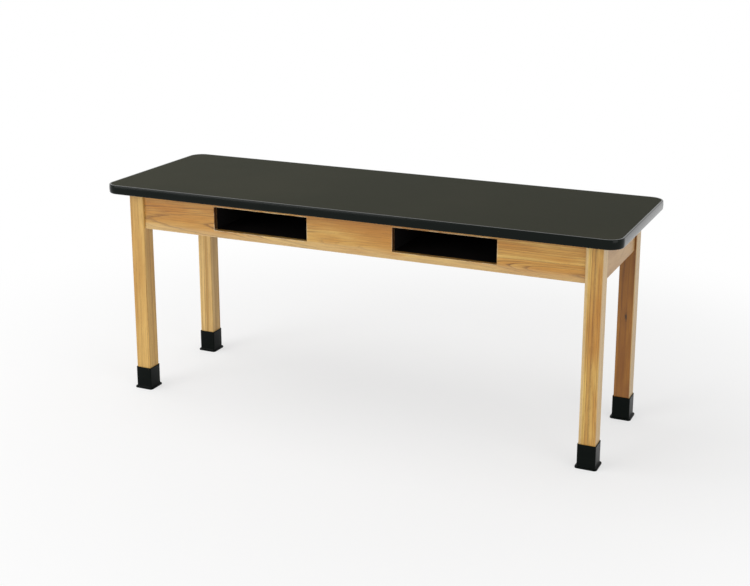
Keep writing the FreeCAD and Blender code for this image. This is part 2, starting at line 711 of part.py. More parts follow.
def make_book_box(side, centre):
    """Moulded tray behind an opening, open at its front, hung by a rim under the top.

    The body's own origin is the middle of the tray's lower front edge.
    """
    body = new_body(f"book_box_{side}", (centre, "-box_front", "box_bottom"))
    outer = "box_outer / 2"
    plan = new_sketch(body, f"box_plan_{side}")
    rectangle(plan, f"-{outer}", outer, "0", "box_depth")
    pad(body, plan, "box_height")

    def outer_edge(edge):
        box = edge.BoundBox
        if upright(edge):
            return near(box.YMin, "box_depth")
        return near(box.ZMax, "0") and not near(box.YMax, "0")
    base = round_edges(body, f"box_outer_round_{side}", "box_round", outer_edge)
    open_faces = [f"Face{number}" for number, face in enumerate(base.Shape.Faces, start=1)
                  if near(face.BoundBox.YMax, "0") or near(face.BoundBox.ZMin, "box_height")]
    shell = body.newObject("PartDesign::Thickness", f"box_shell_{side}")
    shell.Base = (base, open_faces)
    shell.Reversed = True
    shell.Join = "Intersection"
    bind(shell, Value="box_wall")
    rim = new_sketch(body, f"box_rim_{side}", offset="box_height - box_wall")
    wide, deep = f"{outer} + box_flange", "box_depth + box_flange"
    middle, back, turn = f"{outer} - box_wall / 2", "box_depth - box_wall / 2", "box_round - box_wall / 2"
    outline(rim, [
        (middle, "0"), (wide, "0"), (wide, deep), (f"-({wide})", deep), (f"-({wide})", "0"),
        (f"-({middle})", "0"), (f"-({middle})", f"{back} - ({turn})"), (f"-({middle}) + ({turn})", back),
        (f"{middle} - ({turn})", back), (middle, f"{back} - ({turn})"),
    ], {6: f"-({turn})", 8: f"-({turn})"})
    pad(body, rim, "box_wall")
    holes = new_sketch(body, f"box_holes_{side}", offset="box_height")
    rows = ("-box_screw_spacing", "0", "box_screw_spacing")
    circles(holes, [(f"{sign}box_screw_offset", f"box_depth / 2 + {row}") for sign in ("-", "")
                    for row in rows], "sheet_hole_radius")
    cut(body, holes, "2 * box_wall")


def make_box_screws():
    """Screws up through the rims of both book boxes into the top."""
    screws = new_master("right_box_screws")
    for side, offset in (("inner", "-box_screw_offset"), ("outer", "box_screw_offset")):
        for row, along in enumerate(("-box_screw_spacing", "0", "box_screw_spacing")):
            screw(screws, f"{side}_rim_screw_{row}", (f"opening_centre + {offset}",
                  f"box_depth / 2 - box_front + {along}", "underside - box_wall"), UP)
    gather("book_box_screws", [(screws, "x")])


# Feet

def make_boot(corner):
    """Rubber boot: a square sleeve on a flared skirt, with a shelf under the leg."""
    body = corner_body("boot", corner)
    centre = ("leg_width / 2", "leg_width / 2")
    foot = new_sketch(body, f"boot_foot_{corner}")
    half = "boot_half + boot_skirt"
    rounded_rectangle(foot, centre, half, half, "boot_round + boot_skirt")
    pad(body, foot, "boot_skirt_height")
    sleeve = new_sketch(body, f"boot_sleeve_{corner}")
    rounded_rectangle(sleeve, centre, "boot_half", "boot_half", "boot_round")
    pad(body, sleeve, "boot_height")

    def cove_edge(edge):
        box = edge.BoundBox
        reach = measure("boot_offset") + TOUCH
        flat = near(box.ZMin, "boot_skirt_height") and near(box.ZMax, "boot_skirt_height")
        return flat and box.XMin > -reach and box.XMax < measure("leg_width") + reach \
            and box.YMin > -reach and box.YMax < measure("leg_width") + reach
    round_edges(body, f"boot_cove_{corner}", "boot_cove", cove_edge)
    socket = new_sketch(body, f"boot_socket_{corner}", offset="boot_height")
    half = "leg_width / 2 + boot_clearance"
    rounded_rectangle(socket, centre, half, half, "leg_round + boot_clearance")
    cut(body, socket, "boot_height - leg_lift")
    hollow = new_sketch(body, f"boot_hollow_{corner}")
    rounded_rectangle(hollow, centre, half, half, "leg_round + boot_clearance")
    cut(body, hollow, "leg_lift - boot_ledge", backwards=True)
    hole = new_sketch(body, f"boot_hole_{corner}", offset="leg_lift")
    circles(hole, [centre], "ledge_hole_radius")
    cut(body, hole, "leg_lift")


def make_inserts():
    """Threaded inserts in the ends of the legs."""
    insert = new_master("back_right_insert")
    x, y = "leg_centre_x", "leg_centre_y"
    cylinder(insert, "insert_flange", (x, y, "insert_bottom"), "insert_flange_radius",
             "insert_flange_sheet")
    cylinder(insert, "insert_barrel", (x, y, "insert_bottom"), "insert_radius",
             "insert_flange_sheet + insert_length")
    cylinder(insert, "insert_thread", (x, y, "0"), "insert_bore", "2 * leg_lift + insert_length",
             UP, "Subtractive")
    gather("glide_inserts", [(insert, "xy")])


def make_glide(corner):
    """Levelling glide: a foot pad, and a threaded stud that turns in it."""
    side_x, side_y, _ = CORNERS[corner]
    at = (f"{side_x}leg_centre_x", f"{side_y}leg_centre_y", "0")
    foot = new_body(f"glide_pad_{corner}", at)
    section = new_sketch(foot, f"pad_section_{corner}", "XZ_Plane")
    socket = "spigot_radius + spigot_clearance"
    floor = "pad_height - spigot_length - spigot_relief"
    outline(section, [
        ("0", "0"), ("pad_radius - pad_round", "0"), ("pad_radius", "pad_round"),
        ("pad_radius", "pad_rim"), ("pad_neck_radius", "pad_height"), (socket, "pad_height"),
        (socket, floor), ("0", floor),
    ], {1: "pad_round"})
    turned = foot.newObject("PartDesign::Revolution", f"pad_turned_{corner}")
    turned.Profile = section
    turned.ReferenceAxis = (section, ["V_Axis"])
    turned.Angle = 360

    stud = new_body(f"glide_stud_{corner}", at)
    cylinder(stud, f"stud_pivot_{corner}", ("0", "0", "pad_height - spigot_length"), "spigot_radius",
             "spigot_length + collar_height / 2")
    hexagon(stud, f"stud_collar_{corner}", ("0", "0", "pad_height"), "collar_radius", "collar_height")
    cylinder(stud, f"stud_thread_{corner}", ("0", "0", "stud_foot"), "stud_radius",
             "stud_length - stud_chamfer")
    end = stud.newObject("PartDesign::AdditiveCone", f"stud_end_{corner}")
    bind(end, Radius1="stud_radius", Radius2="stud_radius - stud_chamfer", Height="stud_chamfer")
    place(end, ("0", "0", "stud_foot + stud_length - stud_chamfer"))


def check_and_write():
    """Refuse a failed object or a bad shape, then write each sub-part's STEP file."""
    doc.recompute()
    for item in doc.Objects:
        if "Invalid" in item.State or "Error" in item.State:
            raise ValueError(f"{item.Name} failed: {item.State}")
    for body in nodes:
        if body.Shape.isNull() or not body.Shape.isValid() or not body.Shape.Solids:
            raise ValueError(f"{body.Label} has no sound shape")
    os.makedirs("parts", exist_ok=True)
    for body in nodes:
        body.Shape.exportStep(f"parts/{body.Label}.step")
        print(body.Label, len(body.Shape.Solids), "solids", round(body.Shape.Volume), "mm3")


make_top()
for corner in CORNERS:
    make_leg(corner)
make_aprons()
for corner in CORNERS:
    make_brace(corner)
make_hanger_bolts()
make_brace_screws()
make_brackets()
make_book_box("left", "-opening_centre")
make_book_box("right", "opening_centre")
make_box_screws()
for corner in CORNERS:
    make_boot(corner)
make_inserts()
for corner in CORNERS:
    make_glide(corner)
check_and_write()
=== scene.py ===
import logging
from collections.abc import Iterable, Mapping, Sequence
from dataclasses import dataclass
from enum import Enum
from typing import ClassVar

import bmesh
import bpy
import numpy as np
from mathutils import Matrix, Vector


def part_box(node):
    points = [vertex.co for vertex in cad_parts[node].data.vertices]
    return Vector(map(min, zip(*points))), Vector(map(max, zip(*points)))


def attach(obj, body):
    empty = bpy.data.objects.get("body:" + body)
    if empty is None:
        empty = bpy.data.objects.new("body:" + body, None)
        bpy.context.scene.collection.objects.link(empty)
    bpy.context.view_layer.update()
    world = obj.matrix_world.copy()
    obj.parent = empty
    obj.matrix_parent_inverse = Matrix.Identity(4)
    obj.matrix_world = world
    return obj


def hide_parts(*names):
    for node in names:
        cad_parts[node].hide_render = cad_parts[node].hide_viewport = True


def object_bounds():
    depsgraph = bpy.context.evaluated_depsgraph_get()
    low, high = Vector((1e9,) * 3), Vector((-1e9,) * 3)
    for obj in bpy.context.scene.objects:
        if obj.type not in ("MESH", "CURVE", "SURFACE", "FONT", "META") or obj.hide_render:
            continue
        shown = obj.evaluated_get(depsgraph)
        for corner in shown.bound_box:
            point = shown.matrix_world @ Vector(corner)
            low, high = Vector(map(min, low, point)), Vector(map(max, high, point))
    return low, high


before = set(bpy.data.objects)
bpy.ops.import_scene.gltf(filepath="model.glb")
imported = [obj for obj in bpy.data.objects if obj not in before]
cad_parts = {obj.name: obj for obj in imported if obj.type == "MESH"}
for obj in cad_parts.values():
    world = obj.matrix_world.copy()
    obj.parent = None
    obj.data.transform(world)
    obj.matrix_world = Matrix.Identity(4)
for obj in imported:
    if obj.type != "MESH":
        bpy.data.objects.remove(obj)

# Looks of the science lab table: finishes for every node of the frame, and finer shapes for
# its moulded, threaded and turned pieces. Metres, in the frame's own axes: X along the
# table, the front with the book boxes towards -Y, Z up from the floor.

CAD_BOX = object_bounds()
MM = 0.001
TURN = 2 * np.pi
log = logging.getLogger("lab_table")

Socket = bpy.types.NodeSocket
Value = float | Sequence[float] | Socket
Colour = tuple[float, float, float, float]
Place = tuple[float, float, float]

ORIGIN: Place = (0.0, 0.0, 0.0)
WHITE: Colour = (1.0, 1.0, 1.0, 1.0)


class Corner(Enum):
    """The table's corners, as the nodes and bodies name them."""

    FRONT_LEFT = "front_left"
    FRONT_RIGHT = "front_right"
    BACK_RIGHT = "back_right"
    BACK_LEFT = "back_left"


class Grain(Enum):
    """Which of the table's axes a board's grain runs along, and the turn that lays it along X."""

    ALONG = (0, ORIGIN)
    ACROSS = (1, (0.0, 0.0, -TURN / 4))
    UPRIGHT = (2, (0.0, TURN / 4, 0.0))


class Way(Enum):
    """Which way of a small solid is its axis, as a place in the order of its spreads."""

    SHORTEST = 0
    LONGEST = -1


def shade(red: int, green: int, blue: int) -> Colour:
    """Turn a colour as seen on a screen into the linear values that a shader takes.

    Args:
        red, green, blue: screen values from 0 to 255.

    Returns:
        Linear red, green and blue, and full alpha.
    """
    seen = np.array([red, green, blue]) / 255
    linear = np.where(seen <= 0.04045, seen / 12.92, ((seen + 0.055) / 1.055) ** 2.4)
    return (*linear.tolist(), 1.0)


def middle_of(box: Sequence[Sequence[float]]) -> Vector:
    """The middle of a box given by its lowest and highest corner."""
    low, high = box
    return (Vector(low) + Vector(high)) / 2


def add_object(name: str, data: bpy.types.ID) -> bpy.types.Object:
    """Put a new object into the scene, at the origin.

    Args:
        name: the object's name.
        data: its mesh, lamp or camera.

    Returns:
        The object.
    """
    made = bpy.data.objects.new(name, data)
    bpy.context.scene.collection.objects.link(made)
    return made


def aim(thing: bpy.types.Object, place: Sequence[float], ahead: Vector) -> None:
    """Put a lamp or the camera at a place, looking ahead."""
    thing.location = place
    thing.rotation_euler = ahead.to_track_quat("-Z", "Y").to_euler()


# Shader graphs

class Graph:
    """A node tree with short ways to add and join nodes."""

    def __init__(self, tree: bpy.types.NodeTree) -> None:
        """Start on a tree."""
        self.tree = tree

    def feed(self, socket: Socket, value: Value) -> None:
        """Link a socket to another, or set its constant.

        Args:
            socket: the input to feed.
            value: an output socket, or a number, vector or colour.
        """
        if isinstance(value, Socket):
            self.tree.links.new(value, socket)
        else:
            socket.default_value = value

    def add(self, kind: str, inputs: dict[str | int, Value] | None = None,
            **settings: object) -> bpy.types.Node:
        """Add a node.

        Args:
            kind: the node's type without the word ShaderNode.
            inputs: values or sockets by input name or number.
            settings: the node's own properties, set before its inputs.

        Returns:
            The new node.
        """
        node = self.tree.nodes.new("ShaderNode" + kind)
        for name, setting in settings.items():
            setattr(node, name, setting)
        for key, value in (inputs or {}).items():
            self.feed(node.inputs[key], value)
        return node

    def effect(self, group: bpy.types.NodeTree, **inputs: Value) -> Mapping[str, Socket]:
        """Place an effect group, with its own value for each input, and give its outputs."""
        named = {key.replace("_", " ").title(): value for key, value in inputs.items()}
        return self.add("Group", named, node_tree=group).outputs

    def place(self) -> Socket:
        """The position on the piece, in metres."""
        return self.add("TexCoord").outputs["Object"]

    def math(self, operation: str, *values: Value) -> Socket:
        """Combine one to three numbers by a Math node's operation."""
        return self.add("Math", dict(enumerate(values)), operation=operation).outputs[0]

    def times(self, value: Value, factor: Value, *extra: Value) -> Socket:
        """A value times a factor, plus an extra where one is given."""
        return self.math("MULTIPLY_ADD" if extra else "MULTIPLY", value, factor, *extra)

    def vector(self, operation: str, *values: Value) -> Socket:
        """Combine vectors by a Vector Math node's operation, into a vector or a number."""
        outputs = self.add("VectorMath", dict(enumerate(values)), operation=operation).outputs
        return outputs["Value" if operation in ("LENGTH", "DOT_PRODUCT") else "Vector"]

    def split(self, vector: Value) -> Sequence[Socket]:
        """The X, Y and Z of a vector."""
        return self.add("SeparateXYZ", {0: vector}).outputs

    def fade(self, value: Value, start: Value, end: Value,
             low: Value = 0.0, high: Value = 1.0) -> Socket:
        """Carry a value smoothly from low at start to high at end, level outside them.

        Args:
            value: the value that runs from start to end.
            start, end: where the change begins and is complete.
            low, high: the results there.

        Returns:
            The faded value.
        """
        inputs = {"Value": value, "From Min": start, "From Max": end, "To Min": low, "To Max": high}
        return self.add("MapRange", inputs, interpolation_type="SMOOTHSTEP").outputs[0]

    def noise(self, position: Value, scale: Value, detail: float = 2.0,
              roughness: float = 0.5) -> Socket:
        """Even noise from 0 to 1 about a mean of a half.

        Args:
            position: where it is read.
            scale: features per metre.
            detail: octaves of finer noise.
            roughness: strength of each finer octave.

        Returns:
            The noise value.
        """
        inputs = {"Vector": position, "Scale": scale, "Detail": detail, "Roughness": roughness}
        return self.add("TexNoise", inputs).outputs[0]

    def drawn(self, position: Value, features: Sequence[float], *finer: float) -> Socket:
        """Noise with its own number of features per metre along X, Y and Z."""
        return self.noise(self.vector("MULTIPLY", position, features), 1.0, *finer)

    def streaks(self, position: Value, along: float, across: float, *finer: float) -> Socket:
        """Noise drawn out along X, with features per metre along it and across it."""
        return self.drawn(position, (along, across, across), *finer)

    def blend(self, factor: Value, low: Value, high: Value) -> Socket:
        """Mix two colours: a factor of 0 gives low and 1 gives high."""
        return self.add("Mix", {0: factor, 6: low, 7: high}, data_type="RGBA").outputs[2]


def blank_graph(owner: bpy.types.Material | bpy.types.World) -> Graph:
    """Clear the nodes of a material or world, and start a graph on them.

    Args:
        owner: the material or world.

    Returns:
        The graph.
    """
    owner.use_nodes = True
    owner.node_tree.nodes.clear()
    return Graph(owner.node_tree)


class Effect:
    """A shader node group with named sockets, made once and placed in many materials."""

    KINDS: ClassVar[dict[type, str]] = {float: "NodeSocketFloat", tuple: "NodeSocketVector"}

    def __init__(self, name: str, inputs: dict[str, float | tuple], outputs: Iterable[str]) -> None:
        """Make the group's sockets.

        Args:
            name: the group's name.
            inputs: each input's name and its plain value, after the position, which comes first.
            outputs: the names of the outputs, vectors where a name ends in Normal.
        """
        self.tree = bpy.data.node_groups.new(name, "ShaderNodeTree")
        for key, value in {"Position": ORIGIN, **inputs}.items():
            socket = self.tree.interface.new_socket(
                name=key, in_out="INPUT", socket_type=self.KINDS[type(value)])
            socket.default_value = value
        for key in outputs:
            kind = self.KINDS[tuple if key.endswith("Normal") else float]
            self.tree.interface.new_socket(name=key, in_out="OUTPUT", socket_type=kind)
        self.graph = Graph(self.tree)
        self.given = self.tree.nodes.new("NodeGroupInput").outputs
        self.result = self.tree.nodes.new("NodeGroupOutput").inputs

    def put(self, **results: Socket) -> bpy.types.NodeTree:
        """Send results to the outputs of the same names, and give the group.

        Args:
            results: a socket of the graph for each of the group's outputs.

        Returns:
            The group.
        """
        for key, value in results.items():
            self.graph.feed(self.result[key.title()], value)
        return self.tree


def make_figure() -> bpy.types.NodeTree:
    """Growth rings, pores and fibres of a plank, with the grain along X.

    The distance from the pith is the root of the squared distances along Y and Z, each
    changed by a lean times X, plus slow and quick noise times Waver. That distance over
    Ring Width, bent so that some rings are broad and some narrow, counts the rings: its
    fraction places the porous line of each ring, and its whole part draws the ring's own
    tone.

    Returns:
        The group.
    """
    quick_share, bends_per_ring, bend_reach = 0.14, 1.7, 0.42
    effect = Effect("OakFigure", {"Pith": (0.0, 0.1, 0.0), "Lean": ORIGIN, "Ring Width": 0.005,
                                  "Waver": 0.01, "Seed": 0.0}, ["Line", "Tone", "Pore", "Fibre"])
    graph, given = effect.graph, effect.given
    seeded = graph.vector("ADD", given["Position"], given["Seed"])
    place, pith, lean = (graph.split(given[key]) for key in ("Position", "Pith", "Lean"))
    squares = []
    for axis in (1, 2):
        leant = graph.times(lean[axis], place[0], place[axis])
        squares.append(graph.math("POWER", graph.math("SUBTRACT", leant, pith[axis]), 2.0))
    radius = graph.math("SQRT", graph.math("ADD", *squares))
    slow = graph.math("SUBTRACT", graph.streaks(seeded, 1.6, 9.0), 0.5)
    quick = graph.math("SUBTRACT", graph.streaks(seeded, 7.0, 70.0), 0.5)
    radius = graph.times(slow, given["Waver"], radius)
    radius = graph.times(quick, graph.times(given["Waver"], quick_share), radius)

    rings = graph.math("DIVIDE", radius, given["Ring Width"])
    bend = graph.math("SINE", graph.times(rings, bends_per_ring, given["Seed"]))
    rings = graph.times(bend, bend_reach, rings)
    number = graph.math("ADD", graph.math("FLOOR", rings), given["Seed"])
    tone = graph.add("TexWhiteNoise", {"W": number}, noise_dimensions="1D").outputs[0]
    part = graph.math("FRACT", rings)
    early = graph.fade(part, 0.0, 0.30, 1.0, 0.0)
    late = graph.fade(part, 0.90, 1.0)
    strength = graph.times(tone, 0.75, 0.25)
    line = graph.times(graph.math("MAXIMUM", early, late), strength)
    broken = graph.fade(graph.streaks(seeded, 12.0, 150.0), 0.25, 0.6, 0.4, 1.0)

    dashes = graph.fade(graph.streaks(seeded, 110.0, 1500.0, 1.0), 0.58, 0.68)
    return effect.put(line=graph.times(line, broken), tone=tone,
                      pore=graph.times(dashes, graph.times(early, 0.8, 0.2)),
                      fibre=graph.streaks(seeded, 9.0, 420.0, 3.0, 0.65))


def make_edge() -> bpy.types.NodeTree:
    """Rounded edges: where the surface's own normal leaves the normal rounded over Width.

    Edge is 0 on flats and 1 on an edge, broken up by noise; it marks wear on most finishes and a
    painted highlight on the oak. Normal is the rounded normal.

    Returns:
        The group.
    """
    effect = Effect("EdgeWearAndHighlight", {"Width": 0.001, "Breakup": 60.0}, ["Edge", "Normal"])
    graph, given = effect.graph, effect.given
    rounded = graph.add("Bevel", {"Radius": given["Width"]}, samples=4).outputs[0]
    plain = graph.add("NewGeometry").outputs["Normal"]
    bare = graph.fade(graph.vector("DOT_PRODUCT", rounded, plain), 0.999, 0.9)
    broken = graph.fade(graph.noise(given["Position"], given["Breakup"], 3.0), 0.3, 0.62)
    return effect.put(edge=graph.times(bare, broken), normal=rounded)


def make_handling() -> bpy.types.NodeTree:
    """Marks of use: soft blotches, and fine rubs along two ways, both from 0 to 1.

    Blotch is slow noise. Rub is the stronger of two noises, each drawn out along its own
    axis, kept where it is high.

    Returns:
        The group.
    """
    effect = Effect("Handling", {"Size": 0.2}, ["Blotch", "Rub"])
    graph, given = effect.graph, effect.given
    blotch = graph.noise(given["Position"], graph.math("DIVIDE", 1.0, given["Size"]), 3.0)
    rubs = [graph.fade(graph.drawn(given["Position"], features, 1.0), 0.68, 0.80)
            for features in ((9.0, 640.0, 640.0), (520.0, 14.0, 520.0))]
    return effect.put(blotch=blotch, rub=graph.math("MAXIMUM", *rubs))


def make_relief() -> bpy.types.NodeTree:
    """Moulded grain: cells of a given size with soft noise over them, as a height from 0 to 1.

    Returns:
        The group.
    """
    effect = Effect("MouldedGrain", {"Size": 0.0008}, ["Height"])
    graph, given = effect.graph, effect.given
    scale = graph.math("DIVIDE", 1.0, given["Size"])
    cells = graph.add("TexVoronoi", {"Vector": given["Position"], "Scale": scale}).outputs[0]
    soft = graph.noise(given["Position"], scale)
    return effect.put(height=graph.times(cells, 0.6, graph.times(soft, 0.4)))


FIGURE = make_figure()
EDGE = make_edge()
HANDLING = make_handling()
RELIEF = make_relief()
MADE: dict[str, bpy.types.Material] = {}


# Finishes

class Finish:
    """What every finish can do: become a material, once."""

    name: str
    colour: Colour

    def surface(self, graph: Graph, shader: bpy.types.Node) -> None:
        """Feed the Principled shader; each finish has its own way."""
        raise NotImplementedError

    def material(self) -> bpy.types.Material:
        """Give the finish's material, made the first time it is asked for.

        Returns:
            The material.
        """
        if self.name not in MADE:
            made = MADE[self.name] = bpy.data.materials.new(self.name)
            graph = blank_graph(made)
            shader = graph.add("BsdfPrincipled")
            graph.add("OutputMaterial", {"Surface": shader.outputs[0]})
            self.surface(graph, shader)
            made.diffuse_color = self.colour
        return MADE[self.name]

    def lay(self, graph: Graph, shader: bpy.types.Node, colour: Value, rough: Value,
            height: Value, depth: float, normal: Value) -> None:
        """Feed the shader its colour, its roughness and a normal with relief.

        Args:
            graph: the material's graph.
            shader: its Principled shader.
            colour: the base colour.
            rough: the roughness.
            height: the relief, from 0 to 1.
            depth: how deep 1 is, in metres.
            normal: the normal that the relief starts from.
        """
        relief = {"Strength": 1.0, "Distance": depth, "Height": height, "Normal": normal}
        bumped = graph.add("Bump", relief).outputs[0]
        for key, value in (("Base Color", colour), ("Roughness", rough), ("Normal", bumped)):
            graph.feed(shader.inputs[key], value)


@dataclass(frozen=True)
class OakFinish(Finish):
    """Clear-lacquered oak, one board of it.

    node is the board's own, and grain the way it runs. pith is how far the heart lies
    through the board and up it, lean how it drifts per metre. light and dark stand beside
    the board's main colour. stripe is how far the rings differ in tone, line how dark their
    porous edges are and calm how much of that is left where the wood is plain. fleck is the
    strength of the short dark marks between the lines. eased is how wide the edges are
    rounded, and arris how strong the painted highlight on them is. A pale band begins below
    the first and above the second value of sap, measured from the board's middle along the
    axis of that number; it is pale outer wood, and a painted highlight on lit edges, sides
    and sills. sap_and_highlight_soft is half the width over which it fades in, and
    sap_and_highlight_share how much of it there is. Between the two values of plain, along the
    grain, the wood is smooth, and warmer towards the second; plain_soft is half the width over
    which that fades in. knot is the place of a knot on the piece.
    """

    node: str
    grain: Grain
    pith: tuple[float, float]
    lean: tuple[float, float]
    seed: float
    ring_width: float = 0.006
    waver: float = 0.012
    light: Colour = shade(220, 178, 100)
    colour: Colour = shade(188, 134, 52)
    dark: Colour = shade(112, 66, 20)
    stripe: float = 0.6
    line: float = 0.9
    calm: float = 0.35
    fleck: float = 0.15
    eased: float = 1.2 * MM
    edge_highlight: float = 0.45
    sap_and_highlight: tuple[float, float] = (-1.0, 1.0)
    sap_and_highlight_axis: int = 0
    sap_and_highlight_soft: float = 1.5 * MM
    sap_and_highlight_share: float = 0.75
    plain: tuple[float, float] | None = None
    plain_soft: float = 30 * MM
    knot: Place | None = None
    knot_radius: float = 14 * MM

    SAPWOOD_AND_HIGHLIGHT: ClassVar[Colour] = shade(214, 186, 134)
    PORE: ClassVar[Colour] = shade(98, 58, 26)
    SAWN_AND_SHADED: ClassVar[Colour] = shade(58, 28, 18)
    EDGE_HIGHLIGHT: ClassVar[Colour] = shade(244, 222, 178)
    KNOT: ClassVar[Colour] = shade(50, 30, 8)

    @property
    def name(self) -> str:
        """The material's name."""
        return f"oak_{self.node}"

    def surface(self, graph: Graph, shader: bpy.types.Node) -> None:
        """Rings, pores and fibres under lacquer, with a painted highlight along the rounded edges.

        Args:
            graph: the material's graph.
            shader: its Principled shader.
        """
        place = graph.place()
        centred = graph.vector("SUBTRACT", place, tuple(middle_of(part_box(self.node))))
        turn = self.grain.value[1]
        turned = graph.add("Mapping", {"Vector": centred, "Rotation": turn}).outputs[0]
        figure = graph.effect(FIGURE, position=turned, pith=(0.0, *self.pith),
                              lean=(0.0, *self.lean), ring_width=self.ring_width,
                              waver=self.waver, seed=self.seed)
        edge = graph.effect(EDGE, position=place, width=self.eased, breakup=40.0)
        use = graph.effect(HANDLING, position=place, size=0.35)

        colour = self.ringed(graph, turned, figure)
        # Pale band: pale outer wood, and a painted highlight on lit leg edges and sides and on the
        # sills of the openings.
        colour = graph.blend(self.sapwood_and_highlight(graph, centred), colour, self.SAPWOOD_AND_HIGHLIGHT)
        colour = graph.blend(graph.fade(figure["Fibre"], 0.35, 0.7, 0.0, 0.28), colour, self.dark)
        colour = graph.blend(graph.times(figure["Pore"], 0.6), colour, self.PORE)
        # Dark end grain: real end grain soaking up the finish, and painted shade in the jambs of
        # the openings.
        colour = graph.blend(self.end_grain_and_shade(graph), colour, self.SAWN_AND_SHADED)
        if self.knot:
            colour = self.knotted(graph, place, colour)
        # Painted highlight: the rounded edges are made pale.
        colour = graph.blend(graph.times(edge["Edge"], self.edge_highlight), colour, self.EDGE_HIGHLIGHT)
        height = graph.math("SUBTRACT", graph.times(figure["Fibre"], 0.35), figure["Pore"])
        rough = graph.times(use["Blotch"], 0.12, graph.times(figure["Pore"], 0.15, 0.34))
        self.lay(graph, shader, colour, rough, height, 0.05 * MM, edge["Normal"])

    def ringed(self, graph: Graph, turned: Value, figure: Mapping[str, Socket]) -> Socket:
        """The colour of the rings, with their porous lines and the flecks between them.

        Args:
            graph: the material's graph.
            turned: the position with the grain along X.
            figure: the outputs of the oak's figure.

        Returns:
            The colour.
        """
        seeded = graph.vector("ADD", turned, (self.seed,) * 3)
        cloud = graph.streaks(seeded, 2.2, 14.0, 3.0, 0.6)
        zone = graph.fade(graph.streaks(seeded, 1.7, 11.0, 1.0), 0.40, 0.56)
        lined = graph.times(zone, self.line * (1 - self.calm), self.line * self.calm)
        toned = graph.times(figure["Tone"], self.stripe)
        if self.plain:
            smooth, warmth = self.smoothed(graph, turned)
            lined = graph.times(lined, graph.times(smooth, -0.75, 1.0))
            toned = graph.math("MAXIMUM", toned, warmth)
        flecks = graph.fade(graph.streaks(seeded, 24.0, 260.0, 1.0), 0.52, 0.72)
        fleck = graph.times(flecks, graph.times(zone, -0.6 * self.fleck, self.fleck))
        colour = graph.blend(graph.fade(cloud, 0.36, 0.64), self.light, self.colour)
        colour = graph.blend(toned, colour, self.colour)
        colour = graph.blend(graph.times(figure["Line"], lined), colour, self.dark)
        return graph.blend(fleck, colour, self.dark)

    def smoothed(self, graph: Graph, turned: Value) -> tuple[Socket, Socket]:
        """The plain stretch of the board, whose warmth grows along the grain and up the board.

        Args:
            graph: the material's graph.
            turned: the position with the grain along X.

        Returns:
            How plain the wood is, and how warm, from 0 to 1.
        """
        split = graph.split(turned)
        start, end = self.plain
        half, soft = (end - start) / 2, self.plain_soft
        off = graph.math("ABSOLUTE", graph.math("SUBTRACT", split[0], (start + end) / 2))
        smooth = graph.fade(off, half - soft, half + soft, 1.0, 0.0)
        rise = graph.times(split[2], 1.5, split[0])
        return smooth, graph.times(smooth, graph.fade(rise, start, end, 0.15, 0.9))

    def sapwood_and_highlight(self, graph: Graph, centred: Value) -> Socket:
        """Its share in the pale band at the sides of the board, 0 between them: pale outer wood,
        and a painted highlight on lit edges, sides and sills.

        The border drifts by four thirds of its softness either way.

        Args:
            graph: the material's graph.
            centred: the position from the board's middle.

        Returns:
            The mask.
        """
        features = [3.0 if axis == self.grain.value[0] else 90.0 for axis in range(3)]
        drift = graph.drawn(centred, features)
        soft, reach = self.sap_and_highlight_soft, self.sap_and_highlight_soft * 4 / 3
        across = graph.math("SUBTRACT", graph.split(centred)[self.sap_and_highlight_axis], reach)
        across = graph.times(drift, 2 * reach, across)
        low, high = self.sap_and_highlight
        below = graph.fade(across, low + soft, low - soft, 0.0, self.sap_and_highlight_share)
        above = graph.fade(across, high - soft, high + soft, 0.0, self.sap_and_highlight_share)
        return graph.math("MAXIMUM", below, above)

    def end_grain_and_shade(self, graph: Graph) -> Socket:
        """0.9 where the surface is sawn across the grain, else 0: end grain that drinks in the
        finish, darkened further as painted shade in the openings' jambs.
        """
        facing = graph.split(graph.add("NewGeometry").outputs["Normal"])[self.grain.value[0]]
        return graph.fade(graph.math("ABSOLUTE", facing), 0.6, 0.9, 0.0, 0.9)

    def knotted(self, graph: Graph, place: Value, colour: Value) -> Socket:
        """Darken the wood round a small knot.

        Args:
            graph: the material's graph.
            place: the position on the piece.
            colour: the wood's colour without the knot.

        Returns:
            The colour with it.
        """
        size = self.knot_radius
        away = graph.vector("SUBTRACT", place, self.knot)
        reach = graph.vector("LENGTH", graph.vector("MULTIPLY", away, (1.9, 1.0, 0.5)))
        reach = graph.times(graph.drawn(away, (260.0, 260.0, 90.0)), size, reach)
        halo = graph.fade(reach, size, 3 * size, 0.3, 0.0)
        core = graph.fade(reach, 0.75 * size, 1.15 * size, 0.95, 0.0)
        return graph.blend(core, graph.blend(halo, colour, self.dark), self.KNOT)


